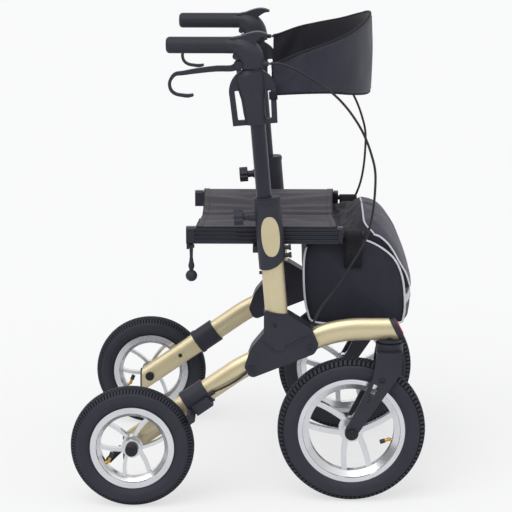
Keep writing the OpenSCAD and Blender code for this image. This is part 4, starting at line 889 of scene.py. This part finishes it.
def hanger_strap(side, s):
    """Flat webbing over the hanger rod and down the side panel, where it is sewn on."""
    over = [(RAIL_Y + STRAP_R * math.sin(a), ROD_Z + STRAP_R * math.cos(a)) for a in STRAP_TURNS]
    path = np.array([((ROD_X0 + ROD_X1) / 2, s * y, z) for y, z in STRAP_BACK + over + STRAP_DOWN])
    half = (ROD_X1 - ROD_X0) / 2
    grid = np.stack([path + [x, 0, 0] for x in np.linspace(-half, half, STRAP_COLS)], axis=1)
    return face_outwards(sheet_piece(f"bag_strap_{side}", grid, STRAP_THICK, BINDING, 0))


straps = [hanger_strap(side, s) for side, s in SIDES.items()]
AHEAD_OF_ALL = 0.6


def on_front(solid, spots, out):
    """Where spots of Y and Z, seen from ahead, lie on a solid's mesh, moved out by a distance."""
    mesh = solid.data
    skin = BVHTree.FromPolygons([v.co for v in mesh.vertices], [p.vertices for p in mesh.polygons])
    hits = [skin.ray_cast(Vector((AHEAD_OF_ALL, y, z)), Vector((-1, 0, 0)))[0] for y, z in spots]
    return np.array([list(p + Vector((out, 0, 0))) for p in hits])


# Reflective tape across the bag's front, and the bag's sewing
TAPE_LOW, TAPE_HIGH, TAPE_Y = 0.398, 0.421, 0.172
TAPE_ROWS, TAPE_COLS, TAPE_OUT, TAPE_THICK = 5, 41, 0.0009, 0.0010
TAPE_SEW_OUT, TAPE_SEW_IN = 0.0008, 0.0012
LID_SEW_COL, LID_SEW_ENDS, LID_SEW_UP = 30, 2, 0.0030
tape_spots = [(y, z) for z in np.linspace(TAPE_LOW, TAPE_HIGH, TAPE_ROWS)
              for y in np.linspace(-TAPE_Y, TAPE_Y, TAPE_COLS)]
tape_grid = on_front(bag, tape_spots, TAPE_OUT).reshape(TAPE_ROWS, TAPE_COLS, 3)
tape = face_outwards(sheet_piece("bag_reflective_tape", tape_grid, TAPE_THICK, REFLECTIVE, 0))
lid_seam = lid_grid[LID_SEW_COL][LID_SEW_ENDS:-LID_SEW_ENDS]
sewing = [stitches("bag_lid_stitches", lid_seam + [0, 0, LID_SEW_UP]),
          stitches("bag_tape_stitches_low", tape_grid[0][1:-1] + [TAPE_SEW_OUT, 0, TAPE_SEW_IN]),
          stitches("bag_tape_stitches_high", tape_grid[-1][1:-1] + [TAPE_SEW_OUT, 0, -TAPE_SEW_IN])]
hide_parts("bag")
for made in [bag, lid, gusset, tape] + skirts + pipes + sewing:
    on_seat(made)
for side, made in zip(SIDES, straps):
    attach(made, f"{side}_seat")


# Backrest: a padded panel between the yokes, bound along its edges, with slack ends looped round their legs
BAND_LOW = [(0.0462, 0.8446), (0.0823, 0.8455), (0.1224, 0.8450), (0.1630, 0.8420), (0.1940, 0.8360),
            (0.2406, 0.8250), (0.2520, 0.8225)]
BAND_HIGH = [(0.0462, 0.9085), (0.0622, 0.9128), (0.1019, 0.9285), (0.1420, 0.9400), (0.1930, 0.9550),
             (0.2300, 0.9720), (0.2440, 0.9810), (0.2520, 0.9870)]
BAND_STEPS, BAND_TILT = 10, 0.004
BAND_SPAN, PAD_SPAN = math.radians(83.6), math.radians(65)
BAND_TURNS, BAND_LOOP = 161, 36
PAD_HALF, PAD_ROUND = 0.0058, 0.5
SLACK_RAMP, SEAM_RAMP, END_RAMP = math.radians(4), math.radians(1.2), math.radians(5)
SLACK_THIN, SEAM_THIN = 0.45, 0.5
BAND_FOLD, FOLD_TURNS, FOLD_LEAN = 0.0042, 22, 4.2
BAND_DENT, DENT_TURNS, DENT_RISE, DENT_SEED = 0.0018, 5, 2.5, 0.4
band_low = curve_through(BAND_LOW, BAND_STEPS)
band_high = curve_through(BAND_HIGH, BAND_STEPS)


def band_point(turn, share, out):
    """A point of the band: turn about the user, share of its height, and distance out from its middle."""
    x = BAND_X + BAND_R * math.cos(turn)
    low = np.interp(x, band_low[:, 0], band_low[:, 1])
    high = np.interp(x, band_high[:, 0], band_high[:, 1]) + BAND_TILT * math.sin(turn)
    r = BAND_R + out
    return [BAND_X + r * math.cos(turn), r * math.sin(turn), low + (high - low) * share]


def backrest_form():
    """Rings round the band's section: two faces swollen apart, drawn together at the bound edges. Past the
    panel's seam the cloth is slack and hangs in folds."""
    rows = []
    for turn in np.linspace(-BAND_SPAN, BAND_SPAN, BAND_TURNS):
        past = min(1.0, max(0.0, (abs(turn) - PAD_SPAN) / SLACK_RAMP))
        slack = past * past * (3 - 2 * past)
        seam = math.exp(-((abs(turn) - PAD_SPAN) / SEAM_RAMP) ** 2)
        end = min(1.0, (BAND_SPAN - abs(turn)) / END_RAMP)
        pad = PAD_HALF * (1 - SLACK_THIN * slack) * (1 - SEAM_THIN * seam)
        ring = []
        for k in range(BAND_LOOP):
            a = 2 * math.pi * k / BAND_LOOP
            share = 0.5 - 0.5 * math.cos(a)
            thick = pad * math.copysign(abs(math.sin(a)) ** PAD_ROUND, math.sin(a))
            bow = math.sin(math.pi * share)
            fold = -BAND_FOLD * slack * end * math.sin(abs(turn) * FOLD_TURNS + share * FOLD_LEAN) * bow
            dent = BAND_DENT * noise.noise(Vector((turn * DENT_TURNS, share * DENT_RISE, DENT_SEED))) * bow
            ring.append(band_point(turn, share, thick + fold + dent))
        rows.append(ring)
    return np.array(rows)


backrest = ringed("backrest_pad", backrest_form(), BAND_CLOTH)
# Inner faces take the near-black lining material, which also stands in as painted shade on the band's inside
backrest.data.materials.append(LINING_AND_SHADE)
for face in backrest.data.polygons:
    face.material_index = int(face.index % BAND_LOOP >= BAND_LOOP // 2)

# Binding along the band's edges, and stitches down the panel's seams and beside the binding
BIND_R, BIND_COUNT = 0.0030, 121
SEAM_SEW_OUT, SEAM_SEW_ENDS, SEAM_SEW_COUNT = PAD_HALF * 0.62, (0.06, 0.94), 40
EDGE_SEW_OUT, EDGE_SEW_COUNT = 0.0041, 120
EDGE_SEW_SHARES = {"top": 0.955, "bottom": 0.045}
band_turns = np.linspace(-BAND_SPAN, BAND_SPAN, BIND_COUNT)
trim = [tube(f"backrest_binding_{name}", [band_point(t, share, 0.0) for t in band_turns], BIND_R, BINDING)
        for name, share in (("top", 1.0), ("bottom", 0.0))]
for side, s in SIDES.items():
    line = [band_point(s * PAD_SPAN, share, SEAM_SEW_OUT)
            for share in np.linspace(*SEAM_SEW_ENDS, SEAM_SEW_COUNT)]
    trim.append(stitches(f"backrest_stitches_{side}", line))
for name, share in EDGE_SEW_SHARES.items():
    line = [band_point(t, share, EDGE_SEW_OUT) for t in np.linspace(-PAD_SPAN, PAD_SPAN, EDGE_SEW_COUNT)]
    trim.append(stitches(f"backrest_stitches_{name}", line))

# Loop of each end round the front leg of its yoke, as corners about the leg's middle
LOOP_HALF_X, LOOP_HALF_Y, LOOP_TALL, LOOP_LEAN = 0.0076, 0.0086, 0.014, 0.05
LOOP_COUNT, LOOP_ROWS, LOOP_THICK = 48, 5, 0.0014
corners = [(x * LOOP_HALF_X, y * LOOP_HALF_Y) for x, y in ((1, -1), (1, 1), (-1, 1), (-1, -1))]
loop_line = spaced(np.array(corners), LOOP_COUNT, closed=True)
loop_line = np.vstack([loop_line, loop_line[:1]])
for side, s in SIDES.items():
    rows = [[(YOKE_LEG_X + x - h * LOOP_LEAN, s * (FRAME_Y + y), YOKE_LEG_Z + h) for x, y in loop_line]
            for h in np.linspace(-LOOP_TALL / 2, LOOP_TALL / 2, LOOP_ROWS)]
    loop = face_outwards(sheet_piece(f"backrest_loop_{side}", np.array(rows), LOOP_THICK, BINDING, 0))
    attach(loop, f"{side}_handle")
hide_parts("backrest_band")
for made in [backrest] + trim:
    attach(made, "right_handle")
    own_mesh(made)


# Reflectors: a red lens on each front cap
LENS_HALF_Y, LENS_HALF_Z, LENS_T = 0.008, 0.013, 0.0024
LENS_DROP, LENS_ROUND, LENS_ROWS, LENS_COLS = 0.020, 0.3, 9, 7
for side, s in SIDES.items():
    cap = frame["nodes"][f"{side}_front_cap"]
    _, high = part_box(f"{side}_front_cap")
    mid_y, mid_z = s * FRAME_Y, high[2] - LENS_DROP
    spots = [(mid_y + LENS_HALF_Y * u * math.sqrt(1 - LENS_ROUND * v * v), mid_z + LENS_HALF_Z * v)
             for v in np.linspace(-1, 1, LENS_ROWS) for u in np.linspace(-1, 1, LENS_COLS)]
    grid = on_front(cap, spots, LENS_T / 2).reshape(LENS_ROWS, LENS_COLS, 3)
    reflector = face_outwards(sheet_piece(f"{side}_front_reflector", grid, LENS_T, RED_LENS))
    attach(reflector, f"{side}_frame")


# Studio: a pale floor that glows to the camera, even light, and the photograph's view
FLOOR_HALF, FLOOR_GLOW = 40.0, 0.62
FLOOR = finish("studio_floor", lambda at: {"Base Color": (0.90, 0.90, 0.91), "Roughness": 0.9})
tree = FLOOR.node_tree
ground = Socket(tree, tree.nodes["Principled BSDF"].outputs[0])
glow = ground.node("ShaderNodeEmission")
seen = ground.node("ShaderNodeLightPath", out="Is Camera Ray") * FLOOR_GLOW
lit = ground.node("ShaderNodeMixShader", {}, {0: seen, 1: ground, 2: glow})
tree.links.new(lit.output, tree.nodes["Material Output"].inputs[0])
floor_corners = [(x * FLOOR_HALF, y * FLOOR_HALF, 0) for x, y in ((-1, -1), (1, -1), (1, 1), (-1, 1))]
floor = piece("studio_floor", floor_corners, [(0, 1, 2, 3)], FLOOR)

# Sky: soft light, white behind the part, and in its gloss a sweep that darkens low and towards the camera
SKY_COLOUR, SKY_STRENGTH = (0.95, 0.97, 1.0, 1), 0.5
SWEEP_SIDE, SWEEP_UP, SWEEP_LEAST = (-0.45, 0.4), (0.35, 0.85), 0.25
world = bpy.data.worlds.new("studio")
bpy.context.scene.world = world
world.use_nodes = True
tree = world.node_tree
sky = tree.nodes["Background"]
sky.inputs["Color"].default_value = SKY_COLOUR
sky.inputs["Strength"].default_value = SKY_STRENGTH
room = Socket(tree, sky.outputs[0])
_, side_way, up_way = room.node("ShaderNodeTexCoord", out="Generated").parts()
camera_ray, clear_ray, gloss_ray = [room.node("ShaderNodeLightPath", out=f"Is {kind} Ray")
                                    for kind in ("Camera", "Transmission", "Glossy")]
plain = camera_ray.math("MAXIMUM", clear_ray)
sweep = side_way.step(*SWEEP_SIDE).math("MAXIMUM", up_way.step(*SWEEP_UP)) * (1 - SWEEP_LEAST) + SWEEP_LEAST
white = room.node("ShaderNodeBackground", {}, {"Strength": plain.math("MAXIMUM", sweep),
                                               "Color": (1, 1, 1, 1)})
pick = room.node("ShaderNodeMixShader", {}, {0: plain.math("MAXIMUM", gloss_ray), 1: room, 2: white})
tree.links.new(pick.output, tree.nodes["World Output"].inputs[0])


def sun(name, strength, softness, tilt, turn):
    lamp = bpy.data.lights.new(name, "SUN")
    lamp.energy = strength
    lamp.angle = math.radians(softness)
    made = bpy.data.objects.new(name, lamp)
    made.rotation_euler = (math.radians(tilt), 0, math.radians(turn))
    bpy.context.collection.objects.link(made)


sun("key_light", strength=1.5, softness=50, tilt=38, turn=-32)
sun("fill_light", strength=0.6, softness=80, tilt=55, turn=48)

LENS_MM, SENSOR_MM = 137.2, 36.0
EYE = Vector((0.0778, -4.100, 1.382))
PITCH_DOWN, YAW = 12.64, -0.93
lens = bpy.data.cameras.new("photo_view")
lens.lens = LENS_MM
lens.sensor_width = SENSOR_MM
camera = bpy.data.objects.new("photo_view", lens)
camera.location = EYE
camera.rotation_euler = (math.radians(90 - PITCH_DOWN), 0, math.radians(-YAW))
bpy.context.collection.objects.link(camera)
bpy.context.scene.camera = camera
bpy.context.scene.view_settings.view_transform = "Standard"
